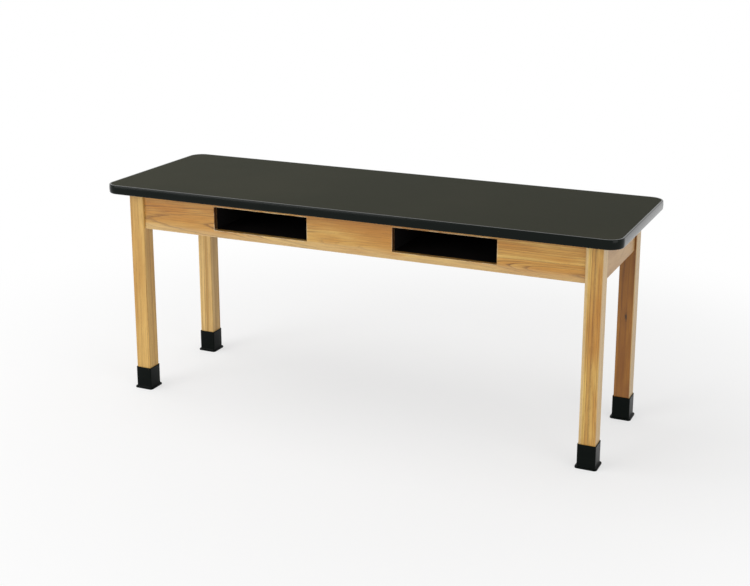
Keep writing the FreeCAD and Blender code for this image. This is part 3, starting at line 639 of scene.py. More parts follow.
@dataclass(frozen=True)
class WornFinish(Finish):
    """A hard surface with a fine relief, marked by handling and worn on its edges.

    worn is the colour of its marks. texture is the size of the relief's cells and depth
    their height. gloss is the level of its reflections. edge_width is how wide its edges
    are rounded, and breakup how often their wear breaks off per metre. blotch is the size
    of its blotches. dulled is how much blotches and rubs add to its mean roughness. skim
    is the share of a clear coat that shows where the surface is seen nearly edge on.
    """

    name: str
    colour: Colour
    worn: Colour
    texture: float
    depth: float
    roughness: float
    edge_width: float
    breakup: float
    blotch: float
    dulled: tuple[float, float]
    gloss: float = 0.5
    metal: float = 0.0
    skim: float = 0.0

    def tint(self, graph: Graph, use: Mapping[str, Socket], edge: Socket) -> Socket:
        """The colour with its marks; each kind of surface has its own."""
        raise NotImplementedError

    def surface(self, graph: Graph, shader: bpy.types.Node) -> None:
        """A fine relief, and a colour and roughness that change where it is handled.

        Args:
            graph: the material's graph.
            shader: its Principled shader.
        """
        place = graph.place()
        edge = graph.effect(EDGE, position=place, width=self.edge_width, breakup=self.breakup)
        use = graph.effect(HANDLING, position=place, size=self.blotch)
        relief = graph.effect(RELIEF, position=place, size=self.texture)
        by_blotch, by_rub = self.dulled
        rough = graph.times(use["Blotch"], by_blotch, self.roughness - by_blotch / 2)
        rough = graph.times(use["Rub"], by_rub, rough)
        self.lay(graph, shader, self.tint(graph, use, edge["Edge"]), rough, relief["Height"],
                 self.depth, edge["Normal"])
        shader.inputs["Specular IOR Level"].default_value = self.gloss
        shader.inputs["Metallic"].default_value = self.metal
        if self.skim:
            facing = graph.add("LayerWeight", {"Blend": 0.5}).outputs["Facing"]
            graph.feed(shader.inputs["Coat Weight"], graph.fade(facing, 0.5, 0.8, 0.0, self.skim))
            shader.inputs["Coat Roughness"].default_value = 0.12


@dataclass(frozen=True)
class LaminateFinish(WornFinish):
    """Chemical-resistant laminate: charcoal, satin, with a fine even texture."""

    name: str = "charcoal_laminate"
    colour: Colour = shade(51, 52, 42)
    worn: Colour = shade(57, 57, 47)
    texture: float = 1.1 * MM
    depth: float = 0.012 * MM
    roughness: float = 0.55
    edge_width: float = 0.4 * MM
    breakup: float = 30.0
    blotch: float = 500 * MM
    dulled: tuple[float, float] = (0.10, -0.02)
    gloss: float = 0.01
    rubbed: Colour = shade(110, 110, 102)

    def tint(self, graph: Graph, use: Mapping[str, Socket], edge: Socket) -> Socket:
        """A faint mottle and fainter rubs."""
        mottled = graph.blend(graph.fade(use["Blotch"], 0.3, 0.7), self.colour, self.worn)
        return graph.blend(graph.times(use["Rub"], 0.02), mottled, self.rubbed)


@dataclass(frozen=True)
class MouldedFinish(WornFinish):
    """A moulded or extruded plastic or rubber, one colour all through."""

    edge_width: float = 0.6 * MM
    breakup: float = 90.0
    blotch: float = 80 * MM
    dulled: tuple[float, float] = (0.16, 0.1)

    def tint(self, graph: Graph, use: Mapping[str, Socket], edge: Socket) -> Socket:
        """Even colour with pale scuffs."""
        scuff = graph.times(use["Rub"], 0.12, graph.times(edge, 0.3))
        return graph.blend(scuff, self.colour, self.worn)


@dataclass(frozen=True)
class PlatedFinish(WornFinish):
    """Plated or blackened steel: metal with a mottle, brighter on worn edges."""

    texture: float = 0.5 * MM
    depth: float = 0.01 * MM
    roughness: float = 0.34
    edge_width: float = 0.3 * MM
    breakup: float = 300.0
    blotch: float = 6 * MM
    dulled: tuple[float, float] = (0.2, 0.12)
    metal: float = 1.0

    def tint(self, graph: Graph, use: Mapping[str, Socket], edge: Socket) -> Socket:
        """A soft mottle and bright edges."""
        bare = graph.math("MAXIMUM", graph.times(use["Blotch"], 0.45), edge)
        return graph.blend(bare, self.colour, self.worn)


@dataclass(frozen=True)
class ChipboardFinish(Finish):
    """Pressed wood chips, as where the core shows between backer and moulding."""

    name: str = "chip_core"
    colour: Colour = shade(186, 150, 104)
    gap: Colour = shade(112, 80, 48)
    size: float = 3.5 * MM
    flatness: float = 2.4

    def surface(self, graph: Graph, shader: bpy.types.Node) -> None:
        """Chips of their own tones with dark gaps.

        Args:
            graph: the material's graph.
            shader: its Principled shader.
        """
        place = graph.place()
        edge = graph.effect(EDGE, position=place, width=0.8 * MM, breakup=200.0)
        flat = graph.vector("MULTIPLY", place, (1.0, 1.0, self.flatness))
        chips = graph.add("TexVoronoi", {"Vector": flat, "Scale": 1 / self.size}).outputs
        tone = graph.add("SeparateColor", {0: chips["Color"]}).outputs[0]
        colour = graph.blend(graph.times(tone, 0.5), self.colour, self.gap)
        colour = graph.blend(graph.fade(chips["Distance"], 0.35, 0.8, 0.0, 0.7), colour, self.gap)
        rough = graph.times(tone, 0.1, 0.8)
        self.lay(graph, shader, colour, rough, tone, 0.15 * MM, edge["Normal"])


LAMINATE = LaminateFinish()
CHIPBOARD = ChipboardFinish()
ZINC = PlatedFinish("zinc_plate", shade(172, 174, 170), shade(214, 216, 214))
PRESSED = PlatedFinish("pressed_zinc", shade(158, 158, 150), shade(204, 204, 198), roughness=0.4,
                       blotch=14 * MM)
BLACK_STEEL = PlatedFinish("black_steel", shade(38, 38, 38), shade(92, 92, 90), roughness=0.5)
EDGE_VINYL = MouldedFinish("black_vinyl", shade(5, 12, 8), shade(34, 38, 35), texture=1.6 * MM,
                           depth=0.003 * MM, roughness=0.16, gloss=0.12, skim=0.45)
BOX_PLASTIC = MouldedFinish("black_moulding", shade(20, 18, 18), shade(48, 46, 44),
                            texture=0.9 * MM, depth=0.03 * MM, roughness=0.56, gloss=0.15,
                            edge_width=1.0 * MM)
BOOT_RUBBER = MouldedFinish("black_rubber", shade(9, 14, 12), shade(44, 46, 44), texture=0.7 * MM,
                            depth=0.012 * MM, roughness=0.32, gloss=0.05)
PAD_NYLON = MouldedFinish("charcoal_nylon", shade(52, 52, 50), shade(120, 119, 114),
                          texture=0.8 * MM, depth=0.008 * MM, roughness=0.45, gloss=0.4)
BACKER = MouldedFinish("phenolic_sheet", shade(98, 78, 60), shade(140, 122, 100), texture=2.2 * MM,
                       depth=0.02 * MM, roughness=0.62, gloss=0.3)


# Surfaces

@dataclass
class Patch:
    """A closed surface as a grid of points, rows by columns by 3."""

    points: np.ndarray
    wrap_rows: bool = False

    def quads(self) -> np.ndarray:
        """Join each point to its neighbours along the rows and columns.

        The columns always close on themselves; the rows do where wrap_rows says so.
        The faces are turned so that the volume they enclose counts as positive.

        Returns:
            Four point numbers to a face.
        """
        rows, columns = self.points.shape[:2]
        row = np.arange(rows if self.wrap_rows else rows - 1)[:, None]
        column = np.arange(columns)[None, :]
        across = (column + 1) % columns
        after = (row + 1) % rows
        faces = np.stack(np.broadcast_arrays(
            row * columns + column, row * columns + across,
            after * columns + across, after * columns + column), axis=-1).reshape(-1, 4)
        corners = (self.points.reshape(-1, 3) - self.points.reshape(-1, 3).mean(axis=0))[faces]
        volumes = [np.einsum("ij,ij->i", corners[:, 0],
                             np.cross(corners[:, last - 1], corners[:, last])) for last in (2, 3)]
        return faces if (volumes[0] + volumes[1]).sum() > 0 else faces[:, ::-1]


def make_piece(name: str, patches: Sequence[Patch], finish: Finish, body: str,
               node: str, sharp: float = 40.0) -> None:
    """Make one piece from its surfaces, dress it and tie it to its body.

    Args:
        name: the piece's name.
        patches: its closed surfaces.
        finish: what it is made of.
        body: the body it rides on.
        node: the node that it stands for.
        sharp: edges that turn more than this many degrees stay crisp.
    """
    starts = np.cumsum([0] + [patch.points.shape[0] * patch.points.shape[1] for patch in patches])
    points = np.concatenate([patch.points.reshape(-1, 3) for patch in patches])
    faces = np.concatenate([patch.quads() + start for patch, start in zip(patches, starts)])
    mesh = bpy.data.meshes.new(name)
    mesh.from_pydata(points.tolist(), [], faces.tolist())
    loose = bmesh.new()
    loose.from_mesh(mesh)
    bmesh.ops.remove_doubles(loose, verts=loose.verts, dist=0.001 * MM)
    loose.to_mesh(mesh)
    loose.free()
    mesh.shade_smooth()
    mesh.set_sharp_from_angle(angle=np.radians(sharp))
    mesh.materials.append(finish.material())
    piece = add_object(name, mesh)
    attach(piece, body)
    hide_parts(node)
    log.info("%s: %d faces on %s", name, len(mesh.polygons), body)


def dress(node: str, finish: Finish) -> None:
    """Give a node of the frame its finish, in every slot that it has.

    Args:
        node: the node's name.
        finish: what it is made of.
    """
    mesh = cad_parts[node].data
    if not mesh.materials:
        mesh.materials.append(None)
    for number in range(len(mesh.materials)):
        mesh.materials[number] = finish.material()
    log.info("%s: finished as %s", node, finish.name)


def rounded_rings(halves: np.ndarray, radii: np.ndarray, heights: np.ndarray, steps: int,
                  centre: Sequence[float] = (0.0, 0.0)) -> np.ndarray:
    """Level rounded rectangles, one to a row.

    A point is the signs of its quarter times (half size less radius), plus the way it
    faces times the radius. The facing turns evenly through each quarter, whose last
    direction is repeated as the next quarter's first.

    Args:
        halves: half the size of each row along X and Y, rows by 2.
        radii: the corner radius of each row.
        heights: the height of each row.
        steps: turns in each corner.
        centre: the middle of the rectangles in plan.

    Returns:
        Points, rows by columns by 3.
    """
    quarter = np.repeat(np.arange(4), steps + 1)
    turn = (quarter + np.tile(np.linspace(0, 1, steps + 1), 4)) * TURN / 4
    middle = (quarter + 0.5) * TURN / 4
    signs = np.sign(np.stack([np.cos(middle), np.sin(middle)], axis=-1))
    facing = np.stack([np.cos(turn), np.sin(turn)], axis=-1)
    radius = radii[:, None, None]
    plan = signs * (halves[:, None, :] - radius) + facing * radius + np.asarray(centre)
    level = np.broadcast_to(heights[:, None, None], (*plan.shape[:2], 1))
    return np.concatenate([plan, level], axis=-1)


def arc(centre: Sequence[float], radius: float, start: float, end: float, steps: int) -> np.ndarray:
    """Points on an arc: centre plus radius times the cosine and sine of an even turn.

    Args:
        centre: the arc's centre.
        radius: its radius.
        start, end: its ends in degrees.
        steps: how many points it has.

    Returns:
        Points, steps by 2.
    """
    turn = np.radians(np.linspace(start, end, steps))
    return np.asarray(centre) + radius * np.stack([np.cos(turn), np.sin(turn)], axis=-1)


def even_turn(steps: int) -> np.ndarray:
    """The direction of each column of a surface round Z, spaced evenly."""
    return np.arange(steps) * TURN / steps


def lathe(radii: Sequence[float] | np.ndarray, heights: Sequence[float], steps: int) -> np.ndarray:
    """Carry a profile round Z: radius times cosine and sine of the turn, at its height.

    Args:
        radii: one radius to a row, or one to each row and column.
        heights: the height of each row.
        steps: how many columns go round.

    Returns:
        Points, rows by columns by 3.
    """
    turn, radius = even_turn(steps), np.asarray(radii)
    radius = radius[:, None] if radius.ndim == 1 else radius
    return np.stack(np.broadcast_arrays(
        radius * np.cos(turn), radius * np.sin(turn), np.asarray(heights)[:, None]), axis=-1)


def threaded_rod(radius: float, length: float, pitch: float, steps: int = 20) -> np.ndarray:
    """A rod with a V thread, its middle at the origin.

    The radius falls by the thread's depth times a triangle wave of the height over the
    pitch less the share of a turn, so that the groove climbs once a turn. The depth fades
    out at both ends, where the rod is chamfered.

    Args:
        radius: over the thread.
        length: end to end.
        pitch: climb of the thread in one turn.
        steps: columns round the rod.

    Returns:
        Points, rows by columns by 3.
    """
    rows_per_turn, depth_share, chamfer_reach, chamfer_share = 6, 0.5, 0.8, 0.2
    height = np.linspace(-length / 2, length / 2, int(np.ceil(length / pitch)) * rows_per_turn)
    wave = np.abs(2 * ((height[:, None] / pitch - even_turn(steps) / TURN) % 1.0) - 1)
    room = (length / 2 - np.abs(height))[:, None]
    depth = depth_share * pitch * np.clip(room / pitch, 0, 1)
    chamfer = np.clip(room / (chamfer_reach * pitch), 0, 1) * chamfer_share + (1 - chamfer_share)
    body = (radius - depth * wave) * chamfer
    end = np.zeros((1, steps))
    return lathe(np.concatenate([end, body, end]), [height[0], *height, height[-1]], steps)


def chamfered_hexagon(flats: float, bottom: float, top: float, bore: float) -> np.ndarray:
    """A hexagon collar or nut round Z with both faces chamfered, as closed rings.

    The distance to a side is half the flats over the cosine of the turn from its middle.
    At each height the outside is the smaller of that and a cone that opens at 60 degrees
    from just inside the flats.

    Args:
        flats: across flats.
        bottom, top: heights of its faces.
        bore: radius of its hole.

    Returns:
        Points, rows by columns by 3, whose last row meets the first.
    """
    steps, face_share, slope = 48, 0.97, np.tan(np.radians(30))
    side = flats / 2 / np.cos((even_turn(steps) + TURN / 12) % (TURN / 6) - TURN / 12)
    edge = (flats / np.sqrt(3) - flats / 2) * slope
    depths = edge * np.array([0.0, 0.5, 1.0, 1.2])
    heights = np.concatenate([bottom + depths, top - depths[::-1]])
    cone = face_share * flats / 2 + np.minimum(heights - bottom, top - heights) / slope
    outside = np.minimum(side[None, :], cone[:, None])
    rings = np.concatenate([outside, np.full((2, steps), bore)])
    return lathe(rings, [*heights, top, bottom], steps)


@dataclass
class Seat:
    """Where a small solid of a CAD node lies: its middle, its axis and its length."""

    middle: np.ndarray
    axis: np.ndarray
    length: float

    def carry(self, local: np.ndarray) -> np.ndarray:
        """Move points from the solid's own axes into the table's.

        The solid's own Z runs along its axis, and its other two axes are square to that.

        Args:
            local: points about an origin at the solid's middle.

        Returns:
            The points in place.
        """
        upright = np.array([0.0, 0.0, 1.0] if abs(self.axis[2]) < 0.5 else [1.0, 0.0, 0.0])
        side = np.cross(upright, self.axis)
        side /= np.linalg.norm(side)
        return local @ np.stack([side, np.cross(self.axis, side), self.axis]) + self.middle


def solids_of(node: str) -> list[np.ndarray]:
    """Split a node's mesh into its separate solids.

    Points that share a place are merged. Then each triangle spreads the lowest number
    among its corners to all of them until nothing changes, so that each solid ends with
    one number.

    Args:
        node: the node's name.

    Returns:
        The distinct points of each solid.
    """
    near_mm = 0.01
    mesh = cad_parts[node].data
    points = np.empty(len(mesh.vertices) * 3)
    mesh.vertices.foreach_get("co", points)
    mesh.calc_loop_triangles()
    triangles = np.empty(len(mesh.loop_triangles) * 3, dtype=int)
    mesh.loop_triangles.foreach_get("vertices", triangles)
    keys = np.round(points.reshape(-1, 3) / (near_mm * MM)).astype(int)
    places, merged = np.unique(keys, axis=0, return_inverse=True)
    triangles = merged.reshape(-1)[triangles].reshape(-1, 3)
    label = np.arange(len(places))
    before = None
    while before is None or (label != before).any():
        before = label.copy()
        np.minimum.at(label, triangles, label[triangles].min(axis=1)[:, None])
    return [places[label == number] * near_mm * MM for number in np.unique(label)]


def seats_of(node: str, way: Way = Way.LONGEST) -> list[Seat]:
    """Find how each solid of a node lies.

    The axis is the solid's longest or shortest way, taken from the spread of its points
    and set to the nearest of the axes and diagonals. It points to the slimmer end.

    Args:
        node: the node's name.
        way: the longest for rods and screws, the shortest for nuts.

    Returns:
        A seat for each solid.
    """
    ways = np.stack(np.meshgrid(*[(-1.0, 0.0, 1.0)] * 3), axis=-1).reshape(-1, 3)
    ways = ways[np.abs(ways).sum(axis=1).round() > 0]
    ways /= np.linalg.norm(ways, axis=1, keepdims=True)
    seats = []
    for points in solids_of(node):
        middle = (points.min(axis=0) + points.max(axis=0)) / 2
        found = np.linalg.eigh(np.cov((points - middle).T))[1][:, way.value]
        axis = ways[np.argmax(ways @ found)]
        along = (points - middle) @ axis
        off = np.linalg.norm(points - middle - along[:, None] * axis, axis=1)
        if off[along > 0].max() > off[along < 0].max() + 0.1 * MM:
            axis, along = -axis, -along
        middle = middle + axis * (along.max() + along.min()) / 2
        seats.append(Seat(middle, axis, float(along.max() - along.min())))
    return seats


@dataclass
class PanScrew:
    """A pan-head wood screw with a cross recess, from its head along +Z to its tip."""

    head_radius: float = 4.0 * MM
    crown_radius: float = 2.8 * MM
    head_height: float = 2.6 * MM
    shank_radius: float = 2.1 * MM
    tip_length: float = 4.0 * MM
    tip_share: float = 0.15
    recess_reach: float = 2.3 * MM
    recess_width: float = 0.55 * MM
    recess_depth: float = 1.3 * MM
    columns: int = 32

    def surface(self, length: float) -> np.ndarray:
        """Work out the screw's surface.

        The head falls as a quarter ellipse from crown to rim. The recess lowers it by its
        depth wherever a point lies inside either bar of the cross, fading over a third of
        the bar's width. Then come the flat under the head, the shank and the tip.

        Args:
            length: head and shank together.

        Returns:
            Points, rows by columns by 3, the head's top at minus half the length.
        """
        rise = np.linspace(0, 1, 7)
        crown = np.linspace(0, 0.95, 7) * self.crown_radius
        bend = np.linspace(0, TURN / 4, 5)
        rim = self.crown_radius + (self.head_radius - self.crown_radius) * np.sin(bend)
        shank = [self.head_radius, self.shank_radius, self.shank_radius,
                 self.tip_share * self.shank_radius, 0.0]
        heights = np.concatenate([
            0.06 * self.head_height * rise ** 2,
            self.head_height * (0.08 + 0.72 * (1 - np.cos(bend))),
            [self.head_height, self.head_height, length - self.tip_length, length, length],
        ])
        grid = lathe(np.concatenate([crown * rise ** 0.2, rim, shank]), heights - length / 2,
                     self.columns)
        fold = np.sort(np.abs(grid[..., :2]), axis=-1)
        inside = np.clip((self.recess_width - fold[..., 0]) / (self.recess_width / 3), 0, 1)
        inside *= np.clip((self.recess_reach - fold[..., 1]) / (self.recess_reach / 3), 0, 1)
        head = (np.arange(len(heights)) < len(crown) + 1)[:, None]
        grid[..., 2] += self.recess_depth * inside * head
        return grid

    def patches(self, node: str) -> list[Patch]:
        """Set a screw in the place of each solid of a node."""
        return [Patch(seat.carry(self.surface(seat.length))) for seat in seats_of(node)]


# The table's own sub-assemblies

@dataclass
class TableTop:
    """Laminate, core and backer, with the vinyl moulding round their edge."""

    corner_radius: float = 50 * MM
    foot_radius: float = 5 * MM
    head_radius: float = 2.5 * MM
    crown: float = 0.8 * MM
    lip: float = 1.0 * MM
    tongue_depth: float = 9 * MM
    tongue_width: float = 2.4 * MM
    corner_steps: int = 28
    face_steps: int = 13
    round_steps: int = 8

    def section(self, thick: float) -> np.ndarray:
        """Outline of the moulding, as distance in from its face and height over its foot.

        The face swells between its two roundings, the tighter one above, as a parabola of
        the height. The tongue sits at mid height behind it.

        Args:
            thick: the moulding's height.

        Returns:
            Points, rows by 2, clockwise from the foot.
        """
        foot, head = self.foot_radius, self.head_radius
        middle, half = thick / 2, self.tongue_width / 2
        inner = self.lip + foot + self.crown
        deep = inner + self.tongue_depth
        swell = self.crown * np.linspace(-1, 1, self.face_steps) ** 2
        face = np.stack([swell, np.linspace(foot, thick - head, self.face_steps)], axis=-1)
        back = np.array([(inner, thick), (inner, middle + half), (deep, middle + half),
                         (deep, middle - half), (inner, middle - half), (inner, 0.0)])
        return np.concatenate([
            arc((self.crown + foot, foot), foot, 270, 180, self.round_steps), face[1:-1],
            arc((self.crown + head, thick - head), head, 180, 90, self.round_steps), back])

    def build(self) -> None:
        """Carry the section round the top and finish the boards."""
        low, high = (np.array(corner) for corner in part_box("top_edge_moulding"))
        section = self.section(high[2] - low[2])
        halves = (high - low)[:2] / 2 - section[:, :1]
        rings = rounded_rings(halves, self.corner_radius - section[:, 0], low[2] + section[:, 1],
                              self.corner_steps)
        make_piece("vinyl_edge_moulding", [Patch(rings, wrap_rows=True)], EDGE_VINYL, "table",
                   "top_edge_moulding")
        dress("top_laminate", LAMINATE)
        dress("top_backer", BACKER)
        dress("top_core", CHIPBOARD)


@dataclass
class OakFrame:
    """Four legs and four aprons, each cut from its own board."""

    knot_height: float = 366 * MM
    knot_offset: float = 2.7 * MM

    def legs(self) -> list[OakFinish]:
        """Straight-grained leg stock, a tone of its own for each leg; the back right leg's darker
        tone is partly its own wood and partly painted shade.

        Returns:
            A finish for each leg.
        """
        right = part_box("leg_back_right")
        knot = (middle_of(right)[0] + self.knot_offset, right[0][1], self.knot_height)
        common = {"grain": Grain.UPRIGHT, "waver": 0.006}
        return [
            OakFinish("leg_front_left", pith=(0.12, 0.06), lean=(0.004, 0.006), ring_width=0.0062,
                      seed=2.0, light=shade(216, 176, 98), colour=shade(190, 142, 66),
                      dark=shade(134, 84, 30), stripe=0.8, calm=0.7, fleck=0.25, **common),
            OakFinish("leg_front_right", pith=(0.07, 0.10), lean=(0.006, -0.004), ring_width=0.0068,
                      seed=5.0, light=shade(226, 192, 108), colour=shade(184, 128, 50),
                      dark=shade(106, 62, 20), stripe=0.8, line=1.0, calm=0.8, fleck=0.4,
                      sap_and_highlight=(-19 * MM, 26.5 * MM), **common),
            # The back right leg's dark colours: partly darker wood, partly painted shade.
            OakFinish("leg_back_right", pith=(0.16, 0.05), lean=(0.003, 0.004), ring_width=0.0075,
                      seed=37.0, light=shade(164, 110, 38), colour=shade(130, 78, 22),
                      dark=shade(84, 42, 12), stripe=0.5, line=0.6, calm=0.6,
                      sap_and_highlight=(-1.0, 25.5 * MM), knot=knot, **common),
            OakFinish("leg_back_left", pith=(0.09, 0.09), lean=(0.005, 0.003), ring_width=0.0075,
                      seed=23.0, light=shade(230, 194, 124), colour=shade(184, 140, 68),
                      dark=shade(126, 84, 32), stripe=0.9, calm=0.7, **common),
        ]

    def aprons(self) -> list[OakFinish]:
        """Flat-sawn apron boards, lines above and arches below on the long front one.

        Returns:
            A finish for each apron.
        """
        return [
            OakFinish("front_apron", Grain.ALONG, pith=(0.035, -0.035), lean=(0.035, 0.010),
                      ring_width=0.0045, waver=0.024, seed=71.0, light=shade(226, 187, 102),
                      colour=shade(190, 128, 42), dark=shade(92, 48, 12), stripe=0.8, line=1.0,
                      calm=0.8, plain=(-0.12, 0.19), eased=5.0 * MM, edge_highlight=0.9,
                      sap_and_highlight=(-42 * MM, 1.0), sap_and_highlight_axis=2, sap_and_highlight_soft=12 * MM, sap_and_highlight_share=0.5),
            OakFinish("back_apron", Grain.ALONG, pith=(-0.05, -0.03), lean=(0.024, -0.02),
                      ring_width=0.0065, waver=0.03, seed=33.0),
            OakFinish("left_apron", Grain.ACROSS, pith=(0.06, 0.02), lean=(0.03, 0.03), waver=0.02,
                      seed=41.0),
            OakFinish("right_apron", Grain.ACROSS, pith=(-0.07, -0.02), lean=(0.03, -0.03),
                      waver=0.02, seed=52.0, light=shade(192, 154, 100), colour=shade(174, 132, 74),
                      dark=shade(142, 102, 54), stripe=0.3, line=0.3),
        ]

    def build(self) -> None:
        """Finish every leg and apron."""
        for finish in self.legs() + self.aprons():
            dress(finish.node, finish)


@dataclass
class CornerJoints:
    """Steel braces behind the legs, with the bolts, washers, nuts and screws that hold them."""

    bolt_radius: float = 3.97 * MM
    bolt_pitch: float = 1.41 * MM
    nut_flats: float = 12.7 * MM
    nut_bore: float = 4.02 * MM

    def build(self) -> None:
        """Finish the braces and cut the threads and flats of their fasteners."""
        for corner in Corner:
            dress(f"corner_brace_{corner.value}", PRESSED)
        rods = [Patch(seat.carry(threaded_rod(self.bolt_radius, seat.length, self.bolt_pitch)))
                for seat in seats_of("hanger_bolts")]
        make_piece("hanger_bolt_threads", rods, ZINC, "table", "hanger_bolts", 60)
        nuts = []
        for seat in seats_of("hanger_bolt_nuts", Way.SHORTEST):
            half = seat.length / 2
            nut = chamfered_hexagon(self.nut_flats, -half, half, self.nut_bore)
            nuts.append(Patch(seat.carry(nut), wrap_rows=True))
        make_piece("hexagon_nuts", nuts, ZINC, "table", "hanger_bolt_nuts", 20)
        dress("hanger_bolt_washers", ZINC)
        make_piece("brace_pan_screws", PanScrew().patches("brace_screws"), ZINC, "table",
                   "brace_screws")


@dataclass
class TopFixings:
    """Angle brackets and screws between the aprons and the top."""

    def build(self) -> None:
        """Finish the brackets and set their screws."""
        dress("top_brackets", PRESSED)
        make_piece("bracket_pan_screws", PanScrew().patches("bracket_screws"), ZINC, "table",
                   "bracket_screws")


@dataclass
class BookBoxes:
    """Two moulded trays behind the openings, screwed under the top by their rims."""

    def build(self) -> None:
        """Finish the trays and set their screws."""
        for side in ("left", "right"):
            dress(f"book_box_{side}", BOX_PLASTIC)
        make_piece("book_box_pan_screws", PanScrew().patches("book_box_screws"), BLACK_STEEL,
                   "table", "book_box_screws")


@dataclass
class LegInserts:
    """Threaded inserts in the ends of the legs, which the studs of the glides turn in."""

    def build(self) -> None:
        """Finish the inserts."""
        dress("glide_inserts", ZINC)


@dataclass
class Foot:
    """One corner's rubber boot and the levelling glide inside it.

    PAD is the profile of the glide's foot pad, as shares of its radius and its height.
    """

    corner: Corner
    leg_half: float = 27.5 * MM
    clearance: float = 0.15 * MM
    wall: float = 2.6 * MM
    outer_round: float = 4 * MM
    socket_round: float = 2.65 * MM
    skirt: float = 6 * MM
    skirt_height: float = 6 * MM
    cove: float = 3 * MM
    shoulder_round: float = 1.6 * MM
    bead: float = 0.35 * MM
    edge_round: float = 0.9 * MM
    ledge_top: float = 12 * MM
    ledge_bottom: float = 9 * MM
    ledge_hole: float = 17 * MM
    hole_roundness: float = 0.97
    steps: int = 9
    pad_columns: int = 48
    stud_columns: int = 24
    stud_radius: float = 4.76 * MM
    stud_pitch: float = 1.5875 * MM
    collar_top: float = 10.2 * MM
    collar_flats: float = 14.3 * MM
    collar_bore: float = 3.0 * MM
    pivot_radius: float = 3.5 * MM
    pivot_bevel: float = 0.5 * MM
    pivot_tip_share: float = 0.85
    overlap: float = 1 * MM

    PAD: ClassVar[tuple[tuple[float, float], ...]] = (
        (0, 0), (0.5, 0), (0.55, 0.05), (0.6, 0), (0.88, 0), (0.97, 0.02), (1, 0.09), (1, 0.40),
        (0.98, 0.46), (0.63, 0.97), (0.6, 1), (0.237, 1), (0.237, 0.36), (0, 0.36))

    def boot_profile(self, bottom: float, top: float) -> np.ndarray:
        """Half size, corner radius and height of each level ring of the boot.

        From the foot's outer edge the rings climb the skirt, a hollow quarter round and the
        wall to a small bead, go over the rim, down inside to the shelf, in to the hole under
        the leg, and out again below the shelf to the foot.

        Args:
            bottom, top: heights of its ends.

        Returns:
            Rows by 3.
        """
        socket, hole = self.leg_half + self.clearance, self.ledge_hole
        outer = socket + self.wall
        small, over, skirt = self.edge_round, self.shoulder_round, outer + self.skirt
        outside = np.concatenate([
            arc((skirt - small, bottom + small), small, -90, 0, 4),
            arc((skirt - over, self.skirt_height - over), over, 0, 90, 6),
            arc((outer + self.cove, self.skirt_height + self.cove), self.cove, 270, 180, 8),
            arc((outer + self.bead - 2 * small, top - 3 * small), 2 * small, -30, 30, 5),
            arc((outer - small, top - small), small, 0, 150, 6),
        ])
        outside = np.insert(outside, 1, self.outer_round + outside[:, 0] - outer, axis=1)
        tight, wide = self.socket_round, self.hole_roundness * hole
        return np.concatenate([outside, [
            (socket, tight, top - small), (socket, tight, self.ledge_top),
            (hole, wide, self.ledge_top), (hole, wide, self.ledge_bottom),
            (socket, tight, self.ledge_bottom), (socket, tight, bottom)]])

    def boot(self) -> None:
        """Make the boot as rings round the leg."""
        label = self.corner.value
        low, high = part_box(f"boot_{label}")
        profile = self.boot_profile(low[2], high[2])
        rings = rounded_rings(np.repeat(profile[:, :1], 2, axis=1), profile[:, 1], profile[:, 2],
                              self.steps, middle_of((low, high))[:2])
        make_piece(f"rubber_boot_{label}", [Patch(rings, wrap_rows=True)], BOOT_RUBBER, "table",
                   f"boot_{label}", 50)

    def glide(self) -> None:
        """Make the foot pad as a turned shape, and the stud with its thread, collar and pivot."""
        label = self.corner.value
        low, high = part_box(f"glide_pad_{label}")
        x, y, _ = middle_of((low, high))
        reach, tall = (high[0] - low[0]) / 2, high[2] - low[2]
        radii, levels = np.array(self.PAD).T
        pad = lathe(radii * reach, levels * tall, self.pad_columns) + (x, y, low[2])
        make_piece(f"glide_foot_{label}", [Patch(pad)], PAD_NYLON, f"{label}_pad",
                   f"glide_pad_{label}", 30)

        foot, top = (corner[2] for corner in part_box(f"glide_stud_{label}"))
        length = top - self.collar_top + self.overlap
        rod = threaded_rod(self.stud_radius, length, self.stud_pitch, self.stud_columns)
        collar = chamfered_hexagon(self.collar_flats, tall, self.collar_top, self.collar_bore)
        pivot, inside = self.pivot_radius, tall + self.overlap
        spigot = lathe([0, self.pivot_tip_share * pivot, pivot, pivot, 0],
                       [foot, foot, foot + self.pivot_bevel, inside, inside], self.stud_columns)
        patches = [Patch(rod + (x, y, (top + self.collar_top - self.overlap) / 2)),
                   Patch(collar + (x, y, 0), wrap_rows=True), Patch(spigot + (x, y, 0))]
        make_piece(f"glide_screw_{label}", patches, ZINC, f"{label}_stud",
                   f"glide_stud_{label}", 35)

    def build(self) -> None:
        """Make the boot and the glide."""
        self.boot()
        self.glide()


@dataclass(frozen=True)
class Lamp:
    """A soft square lamp that shines at the table's middle."""

    name: str
    azimuth: float
    elevation: float
    distance: float
    side: float
    level: float

    def build(self, target: Vector) -> None:
        """Hang the lamp.

        Its power is pi squared times the squared distance times the level, which lights a
        facing matt surface of any colour to that share of the colour.

        Args:
            target: the point that it shines at.
        """
        around, up = np.radians([self.azimuth, self.elevation])
        away = Vector((np.sin(around) * np.cos(up), -np.cos(around) * np.cos(up), np.sin(up)))
        data = bpy.data.lights.new(self.name, "AREA")
        data.size = self.side
        data.energy = np.pi ** 2 * self.distance ** 2 * self.level
        aim(add_object(self.name, data), target + away * self.distance, -away)


